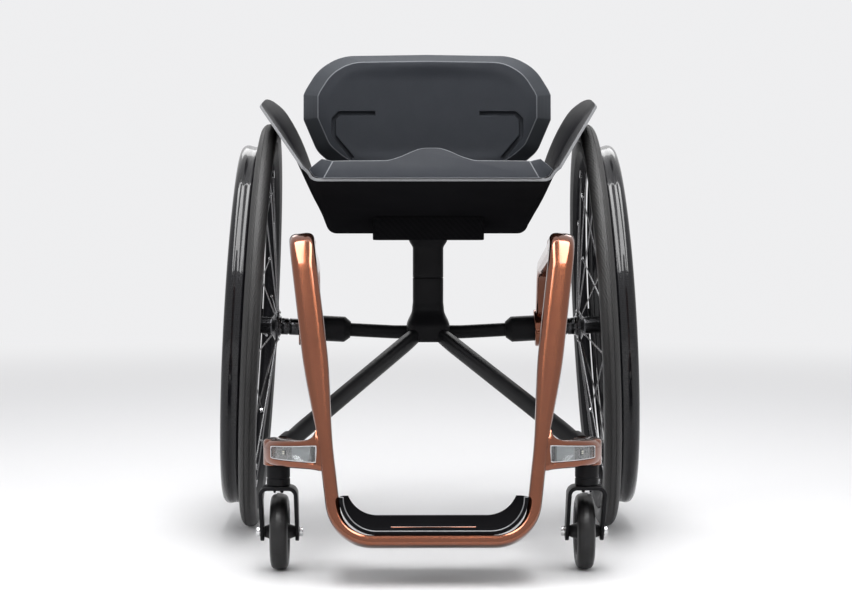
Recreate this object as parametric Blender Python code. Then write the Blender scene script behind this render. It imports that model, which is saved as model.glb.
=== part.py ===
import math

import bmesh
import bpy
from mathutils import Matrix, Vector

# A rigid lightweight wheelchair at its real size, in metres, +Z up.
# The front faces -Y and the floor is z = 0. The origin is on the floor at the middle of the footprint.
# Distances called REACH or BACK are measured along Y from the rear axle, forward being negative.

# Gap left between two pieces that seat on each other
FIT = 0.0003

# Rear wheels: X along the axle from the wheel's middle plane, radii from the axle
WHEEL_RADIUS = 0.300
WHEEL_X = 0.249
CAMBER = math.radians(3.0)
WHEEL_STEPS = 32
TYRE_HALF = 0.0125
TYRE_SHOULDER_RADIUS = WHEEL_RADIUS - 0.0185
TYRE_CROWN_RADIUS = WHEEL_RADIUS - 0.0045
TYRE_CROWN_HALF = 0.0092
BEAD_RADIUS = WHEEL_RADIUS - 0.0335
BEAD_HALF = 0.0078
RIM_FLANGE_RADIUS = WHEEL_RADIUS - 0.0267
RIM_HALF = 0.0105
RIM_SIDE_RADIUS = WHEEL_RADIUS - 0.040
RIM_INNER_RADIUS = WHEEL_RADIUS - 0.050
RIM_INNER_HALF = 0.0045
PUSHRIM_X = 0.031
PUSHRIM_CENTRE_RADIUS = WHEEL_RADIUS - 0.0425
PUSHRIM_TUBE = 0.0095
PUSHRIM_LIP_X = 0.0178
PUSHRIM_LIP_RADIUS = WHEEL_RADIUS - 0.040
PUSHRIM_LIP_TUBE = 0.0055
PUSHRIM_TABS = 6
TAB_LENGTH = 0.018
TAB_DEPTH = 0.006

# Hub, bearings and quick-release axle
HUB_STEPS = 16
HUB_HALF = 0.030
HUB_RADIUS = 0.0145
FLANGE_X = 0.0245
FLANGE_HALF = 0.002
FLANGE_RADIUS = 0.0245
BEARING_RADIUS = 0.012
BEARING_WIDTH = 0.008
BEARING_SPACER_RADIUS = 0.0095
AXLE_RADIUS = 0.00635
AXLE_INNER = 0.075
AXLE_HEAD_RADIUS = 0.010
AXLE_HEAD = 0.006
BUTTON_RADIUS = 0.0047
BUTTON_TRAVEL = 0.004
BUTTON_PROUD = 0.0045
BUTTON_LENGTH = 0.0172
SPOKES = 24
SPOKE_RADIUS = 0.001
NIPPLE_RADIUS = 0.0021
NIPPLE_LENGTH = 0.012

# Camber tube, its clamps and the receivers that the axles plug into
BEAM_RADIUS = 0.010
BEAM_FLAT = 0.050
BEAM_BEND = 0.200
SLEEVE_RADIUS = 0.019
SLEEVE_INNER = 0.1335
SLEEVE_CONE = 0.009
SLEEVE_TIP_RADIUS = 0.0118
RECEIVER_RADIUS = 0.0125
RECEIVER_COLLAR = 0.0265
RECEIVER_SHANK = 0.0435
CLAMP_MIDDLE = 0.074
CLAMP_WIDTH = 0.033
CLAMP_RADIUS = 0.0275

# Front frame: one tube bent into the footrest loop
TOE_REACH = 0.565
TOE_Z = 0.0575
KNEE_REACH = 0.432
KNEE_Z = 0.4402
KNEE_X = 0.1732
TOE_X = 0.1238
KNEE_BEND = 0.045
TOE_BEND = 0.051
FRAME_JOINT_REACH = 0.366
RAIL_FALL = 0.142
TUBE_COUNT = 12
TUBE_SQUARE = 3.0
KNEE_WIDTH = 0.0335
KNEE_DEPTH = 0.025
SHIN_WIDTH = 0.0186
SHIN_DEPTH = 0.027
TOE_WIDTH = 0.0145
TOE_DEPTH = 0.028
TAPER_TOP_Z = 0.300
TAPER_LOW_Z = 0.160

# Side rails: from the front frame back and down to the camber tube
RAIL_BEND_REACH = 0.072
RAIL_BEND = 0.060
RAIL_DEPTH = 0.022
RAIL_WIDTH = 0.029
SPIGOT_LENGTH = 0.025
SPIGOT_WIDTH = 0.024
SPIGOT_DEPTH = 0.015
SPIGOT_ROOT = 0.010
FRAME_PIECE = 0.070
RAIL_PIECE = 0.150

# Struts from the column base to the caster arms; the top's height is above the camber tube's line
STRUT_WIDTH = 0.016
STRUT_DEPTH = 0.021
STRUT_COUNT = 10
STRUT_TOP = (0.0125, 0.018, 0.0013)
STRUT_SOCKET = 0.020
STRUT_SOCKET_WALL = 0.003

# Caster arms, lights and caster bearings
CASTER_X = 0.203
STEM_REACH = TOE_REACH - 0.100
ARM_Z = 0.1625
ARM_HEIGHT = 0.035
ARM_ROOT_HEIGHT = 0.046
ARM_ROOT_DEPTH = 0.021
BARREL_RADIUS = 0.0195
ARM_STEPS = 7
WINDOW_START = 0.16
WINDOW_END = 0.84
WINDOW_Z = 0.1665
WINDOW_TALL = 0.022
WINDOW_LOW = 0.0164
WINDOW_DEPTH = 0.0095
LENS_THICK = 0.0026
BOARD_THICK = 0.0016
HOUSING_RADIUS = 0.0155
HOUSING_SHANK = 0.012
HOUSING_SHANK_LENGTH = 0.026
STEM_RADIUS = 0.004
STEM_BEARING_RADIUS = 0.011
STEM_BEARING_HEIGHT = 0.007
SMALL_STEPS = 12

# Casters
CASTER_RADIUS = 0.0508
CASTER_STEPS = 20
CASTER_TRAIL = 0.040
CASTER_HALF = 0.0122
CASTER_HUB_RADIUS = 0.037
FORK_WIDTH = 0.0515
FORK_WALL = 0.005
FORK_TOP = 0.1172
FORK_CORNER = 0.012
FORK_CROWN_HALF = 0.018
FORK_EYE_RADIUS = 0.0125
CASTER_BOLT_HEAD = 0.0065

# Footplate and its inlaid strip
PLATE_TOP = 0.0725
PLATE_WALL = 0.006
PLATE_FRONT = TOE_REACH + 0.006
PLATE_REAR = TOE_REACH - 0.141
PLATE_FLAT = 0.073
PLATE_BEND = 0.042
WING_FRONT_Z = 0.1162
WING_REAR_Z = 0.0985
TRIM_HALF = 0.055
TRIM_WIDTH = 0.004
TRIM_DEPTH = 0.0016
TRIM_REACH = TOE_REACH - 0.025

# Column: base clamped on the camber tube, telescoping post, plate under the seat.
# Rises and drops are from the camber tube's middle line
COLUMN_WIDTH = 0.0455
COLUMN_SEAM_RISE = 0.0818
BASE_FOOT_DROP = 0.0127
BASE_FOOT_WIDTH = 0.064
BASE_FRONT = 0.045
BASE_BACK = 0.026
SPIGOT_POST = 0.032
POST_INSERT = 0.060
POST_TRAVEL = 0.030
PINCH_LENGTH = 0.013
PINCH_WIDTH = 0.024
PINCH_HEIGHT = 0.020
PINCH_SLIT = 0.002
PINCH_SCREW_RADIUS = 0.0025
MOUNT_PLATE_HALF = 0.082
MOUNT_PLATE_REACH = 0.060
MOUNT_PLATE_Z = 0.428

# Seat shell: floor that falls to the rear, sides that rise into wheel guards
SHELL_WALL = 0.004
SHELL_FRONT = -0.350
SHELL_REAR = 0.100
FLOOR_FRONT_Z = 0.5165
FLOOR_REAR_Z = 0.4335
FLOOR_FRONT_HALF = 0.160
FLOOR_REAR_HALF = 0.149
FLOOR_CORNER = 0.016
# The guard's edge begins at the seat's front as (X, Z)
GUARD_START = (0.1757, 0.5335)
# The rest of the guard's edge as (distance behind the axle, X, height above the wheel's top)
GUARD_SWEEP = [
    (-0.060, 0.2470, 0.0228),
    (-0.035, 0.2455, 0.0303),
    (-0.010, 0.2425, 0.0338),
    (0.020, 0.2365, 0.0328),
    (0.045, 0.2290, 0.0278),
    (0.065, 0.2205, 0.0198),
    (0.082, 0.2120, 0.0068),
    (0.094, 0.2065, -0.0112),
    (0.100, 0.2040, -0.0312),
]
FRONT_EDGE_STEPS = 4
WALL_STEPS = 5

# Seat cushion
CUSHION_FRONT = -0.352
CUSHION_REAR = 0.052
CUSHION_HEIGHT = 0.025
CUSHION_REAR_HEIGHT = 0.031
CUSHION_HALF = 0.170
CUSHION_CLEAR = 0.0016
CUSHION_SHOULDER = 0.149
CUSHION_CREASE = 0.1346
POMMEL_HEIGHT = 0.0216
POMMEL_HALF = 0.0655
POMMEL_LENGTH = 0.190
CUSHION_STEPS = 12

# Backrest, built upright about its hinge and then leaned back
BACK_HINGE_BACK = 0.121
BACK_HINGE_Z = 0.530
BACK_RECLINE = math.radians(5.0)
PAD_REAR = 0.027
PAD_RIM = 0.040
PAD_FRONT = 0.061
BACK_SHELL_WALL = 0.012
BACK_SHELL_INSET = 0.004
# Half outline of the backrest about the hinge as (X, height)
BACK_OUTLINE = [
    (0.000, -0.014),
    (0.118, -0.011),
    (0.147, 0.008),
    (0.168, 0.026),
    (0.1885, 0.074),
    (0.1885, 0.111),
    (0.185, 0.118),
    (0.166, 0.151),
    (0.131, 0.1715),
    (0.000, 0.1735),
]
PAD_SIDE_INSET = 0.0225
PAD_TOP_INSET = 0.009
# Sewn channel of the backrest as (X, height above the hinge)
CHANNEL = [(0.0790, 0.0815), (0.1330, 0.0815), (0.1420, 0.0730), (0.1420, 0.0470), (0.1135, 0.0130)]
CHANNEL_WIDTH = 0.0045
CHANNEL_DEPTH = 0.003
HINGE_X = 0.110
HINGE_EYE = 0.011
HINGE_PIN = 0.004
HINGE_PIN_HEAD = 0.0065
BRACKET_WIDTH = 0.013
BRACKET_FOOT_FRONT = 0.057
BRACKET_FOOT_REAR = 0.0995
BRACKET_FOOT_THICK = 0.005
BRACKET_FRONT = 0.0065
BRACKET_REAR = 0.0085
CHEEK = 0.006

# Places worked out from the sizes above
AXLE_LINE_Z = WHEEL_RADIUS * math.cos(CAMBER)
RAKE = math.atan2(TOE_REACH - KNEE_REACH, KNEE_Z - TOE_Z)
BEAM_Z = AXLE_LINE_Z - (WHEEL_X - BEAM_FLAT) * math.tan(CAMBER)
COLUMN_SEAM_Z = BEAM_Z + COLUMN_SEAM_RISE
BASE_FOOT_Z = BEAM_Z - BASE_FOOT_DROP
WHEEL_TOP_Z = 2 * AXLE_LINE_Z
GUARD_EDGE = [(SHELL_FRONT, *GUARD_START)]
GUARD_EDGE += [(back, x, WHEEL_TOP_Z + rise) for back, x, rise in GUARD_SWEEP]
STEM_GAP_RADIUS = STEM_RADIUS + FIT
AXLE_GAP_RADIUS = AXLE_RADIUS + FIT
HOUSING_TOP = ARM_Z - ARM_HEIGHT / 2 - FIT
HOUSING_FOOT = FORK_TOP + FIT

FINISHES = {
    "copper": ((0.33, 0.135, 0.075), 0.32, 0.9),
    "black_frame": ((0.012, 0.012, 0.014), 0.38, 0.3),
    "matt_carbon": ((0.016, 0.017, 0.020), 0.50, 0.0),
    "gloss_carbon": ((0.014, 0.014, 0.016), 0.10, 0.0),
    "foam_cover": ((0.055, 0.060, 0.070), 0.85, 0.0),
    "rubber": ((0.020, 0.020, 0.021), 0.70, 0.0),
    "steel": ((0.62, 0.62, 0.63), 0.25, 1.0),
    "black_plastic": ((0.020, 0.020, 0.022), 0.45, 0.0),
    "clear_lens": ((0.85, 0.87, 0.88), 0.05, 0.0),
    "light_board": ((0.35, 0.36, 0.37), 0.40, 0.0),
}


def clear_scene():
    for obj in list(bpy.data.objects):
        bpy.data.objects.remove(obj, do_unlink=True)


def new_object(name, bm, parent=None):
    bmesh.ops.recalc_face_normals(bm, faces=bm.faces)
    mesh = bpy.data.meshes.new(name)
    bm.to_mesh(mesh)
    bm.free()
    obj = bpy.data.objects.new(name, mesh)
    bpy.context.collection.objects.link(obj)
    obj.parent = parent
    return obj


def finished(obj, finish):
    colour, roughness, metallic = FINISHES[finish]
    material = bpy.data.materials.new(obj.name)
    material.use_nodes = True
    shader = material.node_tree.nodes["Principled BSDF"]
    shader.inputs["Base Color"].default_value = (*colour, 1.0)
    shader.inputs["Roughness"].default_value = roughness
    shader.inputs["Metallic"].default_value = metallic
    obj.data.materials.clear()
    obj.data.materials.append(material)
    obj.data.shade_smooth()
    obj.data.set_sharp_from_angle(angle=math.radians(32))
    return obj


def cutter(obj):
    obj.hide_render = True
    obj.display_type = "WIRE"
    return obj


def boolean(obj, other, operation):
    modifier = obj.modifiers.new(operation.lower(), "BOOLEAN")
    modifier.operation = operation
    modifier.object = cutter(other)
    modifier.solver = "EXACT"


def empty(name, matrix, parent=None):
    obj = bpy.data.objects.new(name, None)
    bpy.context.collection.objects.link(obj)
    obj.parent = parent
    obj.matrix_local = matrix
    return obj


def turned_mesh(profile, steps):
    # A profile of (distance along X, radius) spun about X; ends on the axis close as points
    bm = bmesh.new()
    verts = [bm.verts.new((x, 0.0, r)) for x, r in profile]
    edges = [bm.edges.new(pair) for pair in zip(verts, verts[1:])]
    if profile[0][1] > 0.0:
        edges.append(bm.edges.new((verts[-1], verts[0])))
    bmesh.ops.spin(bm, geom=verts + edges, cent=(0, 0, 0), axis=(1, 0, 0), angle=math.tau, steps=steps,
                   use_merge=True)
    bmesh.ops.remove_doubles(bm, verts=bm.verts, dist=1e-6)
    return bm


def turned(name, profile, steps, parent=None, matrix=None):
    obj = new_object(name, turned_mesh(profile, steps), parent)
    if matrix is not None:
        obj.matrix_local = matrix
    return obj


def loft_mesh(rings):
    # Closed rings of equal count, skinned in order, with a face over each end
    bm = bmesh.new()
    loops = [[bm.verts.new(point) for point in ring] for ring in rings]
    for low, high in zip(loops, loops[1:]):
        count = len(low)
        for i in range(count):
            bm.faces.new((low[i], low[(i + 1) % count], high[(i + 1) % count], high[i]))
    bm.faces.new(loops[0])
    bm.faces.new(loops[-1])
    return bm


def prism_mesh(outline, start, end, axis):
    # A flat outline pushed along one axis; the outline's pairs are the other two axes in order
    def place(a, b, depth):
        if axis == "X":
            return (depth, a, b)
        if axis == "Y":
            return (a, depth, b)
        return (a, b, depth)

    return loft_mesh([[place(a, b, depth) for a, b in outline] for depth in (start, end)])


def joined_mesh(meshes):
    # Several bodies in one mesh, for a cutter or a tool that adds the same thing many times
    bm = bmesh.new()
    for part in meshes:
        mesh = bpy.data.meshes.new("joined")
        bmesh.ops.recalc_face_normals(part, faces=part.faces)
        part.to_mesh(mesh)
        part.free()
        bm.from_mesh(mesh)
        bpy.data.meshes.remove(mesh)
    return bm


def arc(centre, radius, start, end, steps):
    points = []
    for i in range(steps + 1):
        angle = math.radians(start + (end - start) * i / steps)
        points.append((centre[0] + radius * math.cos(angle), centre[1] + radius * math.sin(angle)))
    return points


def rounded_section(width, depth, count, square):
    points = []
    for i in range(count):
        angle = math.tau * (i + 0.5) / count
        c, s = math.cos(angle), math.sin(angle)
        points.append((math.copysign(abs(c) ** (2 / square), c) * width / 2,
                       math.copysign(abs(s) ** (2 / square), s) * depth / 2))
    return points


def filleted(corners, radii, steps):
    # A path through the corners with an arc of the given radius at each inner corner.
    # An arc that would use up one of its legs is made smaller
    points = [Vector(corners[0])]
    for i, radius in enumerate(radii, start=1):
        corner = Vector(corners[i])
        before = Vector(corners[i - 1]) - corner
        after = Vector(corners[i + 1]) - corner
        half = before.angle(after) / 2
        room = min(before.length * (1.0 if i == 1 else 0.5), after.length * (1.0 if i == len(radii) else 0.5))
        reach = min(radius / math.tan(half), 0.95 * room)
        before.normalize()
        after.normalize()
        centre = corner + (before + after).normalized() * reach / math.cos(half)
        first = corner + before * reach - centre
        turn_axis = before.cross(after).normalized()
        for step in range(steps + 1):
            turn = Matrix.Rotation(-(math.pi - 2 * half) * step / steps, 3, turn_axis)
            points.append(centre + turn @ first)
    points.append(Vector(corners[-1]))
    return points


def divided(points, longest):
    result = [points[0]]
    for start, end in zip(points, points[1:]):
        pieces = max(1, math.ceil((end - start).length / longest))
        result += [start.lerp(end, i / pieces) for i in range(1, pieces + 1)]
    return result


def swept_rings(points, sizes, normal, middle, count, square):
    # Sections carried along the path without twist, outward both ways from the middle point
    tangents = []
    for i in range(len(points)):
        tangents.append((points[min(i + 1, len(points) - 1)] - points[max(i - 1, 0)]).normalized())
    normals = {middle: (Vector(normal) - tangents[middle] * Vector(normal).dot(tangents[middle])).normalized()}
    for direction in (1, -1):
        i = middle
        while 0 <= i + direction < len(points):
            turn = tangents[i].rotation_difference(tangents[i + direction])
            normals[i + direction] = turn @ normals[i]
            i += direction
    rings = []
    for i, point in enumerate(points):
        across = tangents[i].cross(normals[i])
        section = rounded_section(*sizes[i], count, square)
        rings.append([point + across * a + normals[i] * b for a, b in section])
    return rings


def axle_z(x):
    return AXLE_LINE_Z - (WHEEL_X - x) * math.tan(CAMBER)


def axle_matrix(side):
    # Local X runs outward along the cambered axle from the wheel's middle plane
    place = Matrix.Translation((side * WHEEL_X, AXLE_Y, AXLE_LINE_Z))
    if side > 0:
        return place @ Matrix.Rotation(-CAMBER, 4, "Y")
    return place @ Matrix.Rotation(CAMBER, 4, "Y") @ Matrix.Rotation(math.pi, 4, "Z")


def tube_size(z, front):
    # Width and depth of the front frame's tube; the bar under the toes is the slimmest
    if not front or z >= TAPER_TOP_Z:
        return (KNEE_WIDTH, KNEE_DEPTH)
    bar_z = TOE_Z + TOE_BEND
    if z >= TAPER_LOW_Z:
        share = (TAPER_TOP_Z - z) / (TAPER_TOP_Z - TAPER_LOW_Z)
        share = share * share * (3 - 2 * share)
        return (KNEE_WIDTH + (SHIN_WIDTH - KNEE_WIDTH) * share, KNEE_DEPTH + (SHIN_DEPTH - KNEE_DEPTH) * share)
    share = min(1.0, max(0.0, (bar_z - z) / TOE_BEND))
    return (SHIN_WIDTH + (TOE_WIDTH - SHIN_WIDTH) * share, SHIN_DEPTH + (TOE_DEPTH - SHIN_DEPTH) * share)


def frame_half_path():
    fall = (KNEE_REACH - FRAME_JOINT_REACH) * RAIL_FALL
    corners = [
        (0.0, -TOE_REACH, TOE_Z),
        (TOE_X, -TOE_REACH, TOE_Z),
        (KNEE_X, -KNEE_REACH, KNEE_Z),
        (KNEE_X, -FRAME_JOINT_REACH, KNEE_Z - fall),
    ]
    return divided(filleted(corners, [TOE_BEND, KNEE_BEND], 5), FRAME_PIECE)


def front_frame_rings(grow):
    half = frame_half_path()
    mirrored = [Vector((-p.x, p.y, p.z)) for p in reversed(half[1:])]
    points = mirrored + half
    middle = len(mirrored)
    sizes = []
    for point in points:
        front = point.y < -KNEE_REACH + KNEE_BEND / 2 and point.z < KNEE_Z
        width, depth = tube_size(point.z, front)
        sizes.append((width + 2 * grow, depth + 2 * grow))
    normal = (0.0, -math.cos(RAKE), math.sin(RAKE))
    rings = swept_rings(points, sizes, normal, middle, TUBE_COUNT, TUBE_SQUARE)
    lift = Vector((0, AXLE_Y, 0))
    return [[p + lift for p in ring] for ring in rings]


def toe_reach_of_frame():
    # How far ahead of the axle the toe bar's foremost skin lies
    section = rounded_section(TOE_WIDTH, TOE_DEPTH, TUBE_COUNT, TUBE_SQUARE)
    proud = max(b * math.cos(RAKE) - a * math.sin(RAKE) for a, b in section)
    return TOE_REACH + proud


AXLE_Y = (toe_reach_of_frame() - WHEEL_RADIUS) / 2


def rail_points():
    # The rail's path after the front frame's end, down to the clamp on the camber tube
    clamp_x = WHEEL_X - CLAMP_MIDDLE * math.cos(CAMBER)
    front_z = KNEE_Z - (KNEE_REACH - FRAME_JOINT_REACH) * RAIL_FALL
    bend_z = front_z - (FRAME_JOINT_REACH - RAIL_BEND_REACH) * RAIL_FALL
    corners = [
        (KNEE_X, -FRAME_JOINT_REACH + FIT, front_z - FIT * RAIL_FALL),
        (KNEE_X, -RAIL_BEND_REACH, bend_z),
        (clamp_x, 0.0, axle_z(clamp_x) + BEAM_RADIUS),
    ]
    return divided(filleted(corners, [RAIL_BEND], 6), RAIL_PIECE)


def shifted(points):
    return [Vector((p.x, p.y + AXLE_Y, p.z)) for p in points]


def mirrored_x(rings, side):
    return [[Vector((side * p.x, p.y, p.z)) for p in ring] for ring in rings]


def along_frame(start, length):
    # Points ahead of the rail's end that follow the front frame's middle line for a length
    points = []
    place = start
    for point in reversed(shifted(frame_half_path())[:-1]):
        step = (point - place).length
        if step >= length:
            return points + [place.lerp(point, length / step)]
        points.append(point)
        place = point
        length -= step
    return points


def spigot_rings(grow, reach):
    start, after = shifted(rail_points())[:2]
    forward = (start - after).normalized()
    path = [start - forward * reach, start] + along_frame(start, SPIGOT_LENGTH + grow)
    size = (SPIGOT_WIDTH + 2 * grow, SPIGOT_DEPTH + 2 * grow)
    return swept_rings(path, [size] * len(path), (0, 0, 1), 0, 12, TUBE_SQUARE)


def build_front_frame():
    frame = new_object("front_frame", loft_mesh(front_frame_rings(0.0)))
    sockets = [loft_mesh(mirrored_x(spigot_rings(FIT, SPIGOT_ROOT / 2), side)) for side in (-1, 1)]
    boolean(frame, new_object("frame_sockets", joined_mesh(sockets)), "DIFFERENCE")
    finished(frame, "copper")
    return frame


def build_side_rail(side, word):
    path = shifted(rail_points())
    sizes = [(KNEE_WIDTH, RAIL_DEPTH)] + [(RAIL_WIDTH, RAIL_DEPTH)] * (len(path) - 1)
    rings = swept_rings(path, sizes, (0, 0, 1), 0, TUBE_COUNT, TUBE_SQUARE)
    rail = new_object("side_rail_" + word, loft_mesh(mirrored_x(rings, side)))
    spigot = new_object("rail_spigot_" + word, loft_mesh(mirrored_x(spigot_rings(0.0, SPIGOT_ROOT), side)))
    boolean(rail, spigot, "UNION")
    inner, outer = -CLAMP_MIDDLE - CLAMP_WIDTH / 2, -CLAMP_MIDDLE + CLAMP_WIDTH / 2
    boss_profile = [(inner, 0.0), (inner, CLAMP_RADIUS), (outer, CLAMP_RADIUS), (outer, 0.0)]
    boss = turned("rail_boss_" + word, boss_profile, HUB_STEPS, matrix=axle_matrix(side))
    boolean(rail, boss, "UNION")
    bore_radius = SLEEVE_RADIUS + FIT
    bore_profile = [(inner - 0.01, 0.0), (inner - 0.01, bore_radius), (outer + 0.01, bore_radius), (outer + 0.01, 0.0)]
    bore = turned("rail_bore_" + word, bore_profile, HUB_STEPS, matrix=axle_matrix(side))
    boolean(rail, bore, "DIFFERENCE")
    return finished(rail, "copper")


def build_beam():
    end_x = WHEEL_X - receiver_inner() * math.cos(CAMBER) - FIT
    corners = [(BEAM_FLAT, BEAM_Z), (end_x, axle_z(end_x))]
    path = [Vector((-x, 0, z)) for x, z in reversed(corners)] + [Vector((x, 0, z)) for x, z in corners]
    path = shifted(filleted(path, [BEAM_BEND, BEAM_BEND], 3))
    path.insert(len(path) // 2, (path[len(path) // 2 - 1] + path[len(path) // 2]) / 2)
    rings = []
    for i, point in enumerate(path):
        tangent = (path[min(i + 1, len(path) - 1)] - path[max(i - 1, 0)]).normalized()
        across = tangent.cross(Vector((0, 1, 0)))
        ring = []
        for k in range(HUB_STEPS):
            angle = math.tau * k / HUB_STEPS
            ring.append(point + (across * math.cos(angle) + Vector((0, 1, 0)) * math.sin(angle)) * BEAM_RADIUS)
        rings.append(ring)
    return finished(new_object("camber_tube", loft_mesh(rings)), "black_frame")


def sleeve_outer():
    return CLAMP_MIDDLE - CLAMP_WIDTH / 2 - FIT


def receiver_inner():
    return sleeve_outer() - FIT + RECEIVER_SHANK


def build_axle_fittings(side, word):
    matrix = axle_matrix(side)
    inner, outer = -SLEEVE_INNER, -sleeve_outer()
    bore = BEAM_RADIUS + FIT
    sleeve = turned("axle_sleeve_" + word, [
        (inner, SLEEVE_TIP_RADIUS),
        (inner + SLEEVE_CONE, SLEEVE_RADIUS),
        (outer, SLEEVE_RADIUS),
        (outer, bore),
        (inner, bore),
    ], HUB_STEPS, matrix=matrix)
    finished(sleeve, "black_frame")
    collar_start = outer + FIT
    collar_end = -HUB_HALF - FIT
    receiver = turned("axle_receiver_" + word, [
        (-receiver_inner(), BEAM_RADIUS),
        (collar_start, BEAM_RADIUS),
        (collar_start, RECEIVER_RADIUS),
        (collar_end, RECEIVER_RADIUS),
        (collar_end, AXLE_GAP_RADIUS),
        (-receiver_inner(), AXLE_GAP_RADIUS),
    ], HUB_STEPS, matrix=matrix)
    finished(receiver, "steel")


def build_quick_release(side, word):
    head_start = HUB_HALF + FIT
    head_end = head_start + AXLE_HEAD
    button_start = head_end + BUTTON_PROUD - BUTTON_LENGTH
    pocket_end = button_start - BUTTON_TRAVEL - FIT
    chamfer = 0.0018
    axle = turned("quick_release_axle_" + word, [
        (-AXLE_INNER, 0.0),
        (-AXLE_INNER, AXLE_RADIUS - chamfer),
        (-AXLE_INNER + chamfer, AXLE_RADIUS),
        (head_start, AXLE_RADIUS),
        (head_start, AXLE_HEAD_RADIUS),
        (head_end - chamfer / 2, AXLE_HEAD_RADIUS),
        (head_end, AXLE_HEAD_RADIUS - chamfer / 2),
        (head_end, BUTTON_RADIUS + FIT),
        (pocket_end, BUTTON_RADIUS + FIT),
        (pocket_end, 0.0),
    ], HUB_STEPS, matrix=axle_matrix(side))
    finished(axle, "steel")
    button_end = button_start + BUTTON_LENGTH
    button = turned("quick_release_button_" + word, [
        (button_start, 0.0),
        (button_start, BUTTON_RADIUS),
        (button_end - chamfer, BUTTON_RADIUS),
        (button_end - chamfer / 4, BUTTON_RADIUS - chamfer),
        (button_end, 0.0),
    ], HUB_STEPS, matrix=axle_matrix(side))
    finished(button, "steel")


def spoke_mesh(angle, flange_side):
    # One straight spoke from its flange to the rim, with a thicker nipple at the rim end
    sides = 4
    outward = Vector((0, math.cos(angle), math.sin(angle)))
    start = Vector((flange_side * FLANGE_X, 0, 0)) + outward * (FLANGE_RADIUS - 0.0035)
    rim_flat = RIM_INNER_RADIUS * math.cos(math.pi / WHEEL_STEPS)
    end = Vector((flange_side * 0.0015, 0, 0)) + outward * (rim_flat - 2 * FIT)
    along = (end - start).normalized()
    across = along.cross(Vector((1, 0, 0))).normalized()
    other = along.cross(across)
    nipple = end - along * NIPPLE_LENGTH
    rings = []
    for point, radius in ((start, SPOKE_RADIUS), (nipple, SPOKE_RADIUS), (nipple, NIPPLE_RADIUS), (end, NIPPLE_RADIUS)):
        ring = []
        for k in range(sides):
            turn = math.tau * k / sides
            ring.append(point + (across * math.cos(turn) + other * math.sin(turn)) * radius)
        rings.append(ring)
    return loft_mesh(rings)


def lobe(x, radius, tube, start, end, steps):
    return arc((x, radius), tube, start, end, steps)


def build_rear_wheel(side, word):
    hub_axis = empty("wheel_axis_" + word, axle_matrix(side))
    half_profile = [
        (BEAD_HALF, BEAD_RADIUS),
        (BEAD_HALF, RIM_FLANGE_RADIUS + FIT),
        (TYRE_HALF, TYRE_SHOULDER_RADIUS),
        (TYRE_CROWN_HALF, TYRE_CROWN_RADIUS),
    ]
    profile = half_profile + [(0.0, WHEEL_RADIUS)] + [(-x, r) for x, r in reversed(half_profile)]
    tyre = turned("rear_tyre_" + word, profile, WHEEL_STEPS, hub_axis)
    finished(tyre, "rubber")

    well_half = BEAD_HALF + FIT
    half_profile = [
        (RIM_INNER_HALF, RIM_INNER_RADIUS),
        (RIM_HALF, RIM_SIDE_RADIUS),
        (RIM_HALF, RIM_FLANGE_RADIUS),
        (well_half, RIM_FLANGE_RADIUS),
        (well_half, BEAD_RADIUS - FIT),
    ]
    profile = half_profile + [(-x, r) for x, r in reversed(half_profile)]
    finished(turned("rear_rim_" + word, profile, WHEEL_STEPS, hub_axis), "matt_carbon")

    pushrim = turned("pushrim_" + word, lobe(PUSHRIM_X, PUSHRIM_CENTRE_RADIUS, PUSHRIM_TUBE, -128, 118, 5)
                     + lobe(PUSHRIM_LIP_X, PUSHRIM_LIP_RADIUS, PUSHRIM_LIP_TUBE, 62, 292, 3),
                     WHEEL_STEPS, hub_axis)
    tabs = []
    for i in range(PUSHRIM_TABS):
        tab = bmesh.new()
        bmesh.ops.create_cube(tab, size=1.0)
        depth = PUSHRIM_LIP_X - RIM_HALF - FIT
        middle = (RIM_HALF + FIT + depth / 2, 0, PUSHRIM_LIP_RADIUS + 0.002)
        bmesh.ops.scale(tab, vec=(depth, TAB_LENGTH, TAB_DEPTH), verts=tab.verts)
        bmesh.ops.translate(tab, vec=middle, verts=tab.verts)
        turn = Matrix.Rotation(math.tau * (i + 0.5) / PUSHRIM_TABS, 3, "X")
        bmesh.ops.rotate(tab, cent=(0, 0, 0), matrix=turn, verts=tab.verts)
        tabs.append(tab)
    boolean(pushrim, new_object("pushrim_tabs_" + word, joined_mesh(tabs), hub_axis), "UNION")
    finished(pushrim, "gloss_carbon")

    bore = BEARING_RADIUS + FIT
    flange_in, flange_out = FLANGE_X - FLANGE_HALF, FLANGE_X + FLANGE_HALF
    half_profile = [
        (flange_in - 0.002, HUB_RADIUS),
        (flange_in, FLANGE_RADIUS),
        (flange_out, FLANGE_RADIUS),
        (flange_out, HUB_RADIUS),
        (HUB_HALF, HUB_RADIUS),
        (HUB_HALF, bore),
    ]
    profile = half_profile + [(-x, r) for x, r in reversed(half_profile)]
    hub = turned("hub_and_spokes_" + word, profile, HUB_STEPS, hub_axis)
    spokes = []
    for i in range(SPOKES):
        spokes.append(spoke_mesh(math.tau * (i + 0.5) / SPOKES, side if i % 2 else -side))
    boolean(hub, new_object("spoke_set_" + word, joined_mesh(spokes), hub_axis), "UNION")
    finished(hub, "steel")

    bearing_end = HUB_HALF - 0.0005
    spacer_end = bearing_end - BEARING_WIDTH
    half_profile = [
        (spacer_end, BEARING_SPACER_RADIUS),
        (spacer_end, BEARING_RADIUS),
        (bearing_end, BEARING_RADIUS),
        (bearing_end, AXLE_GAP_RADIUS),
    ]
    profile = half_profile + [(-x, r) for x, r in reversed(half_profile)]
    finished(turned("hub_bearings_" + word, profile, HUB_STEPS, hub_axis), "steel")


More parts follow.
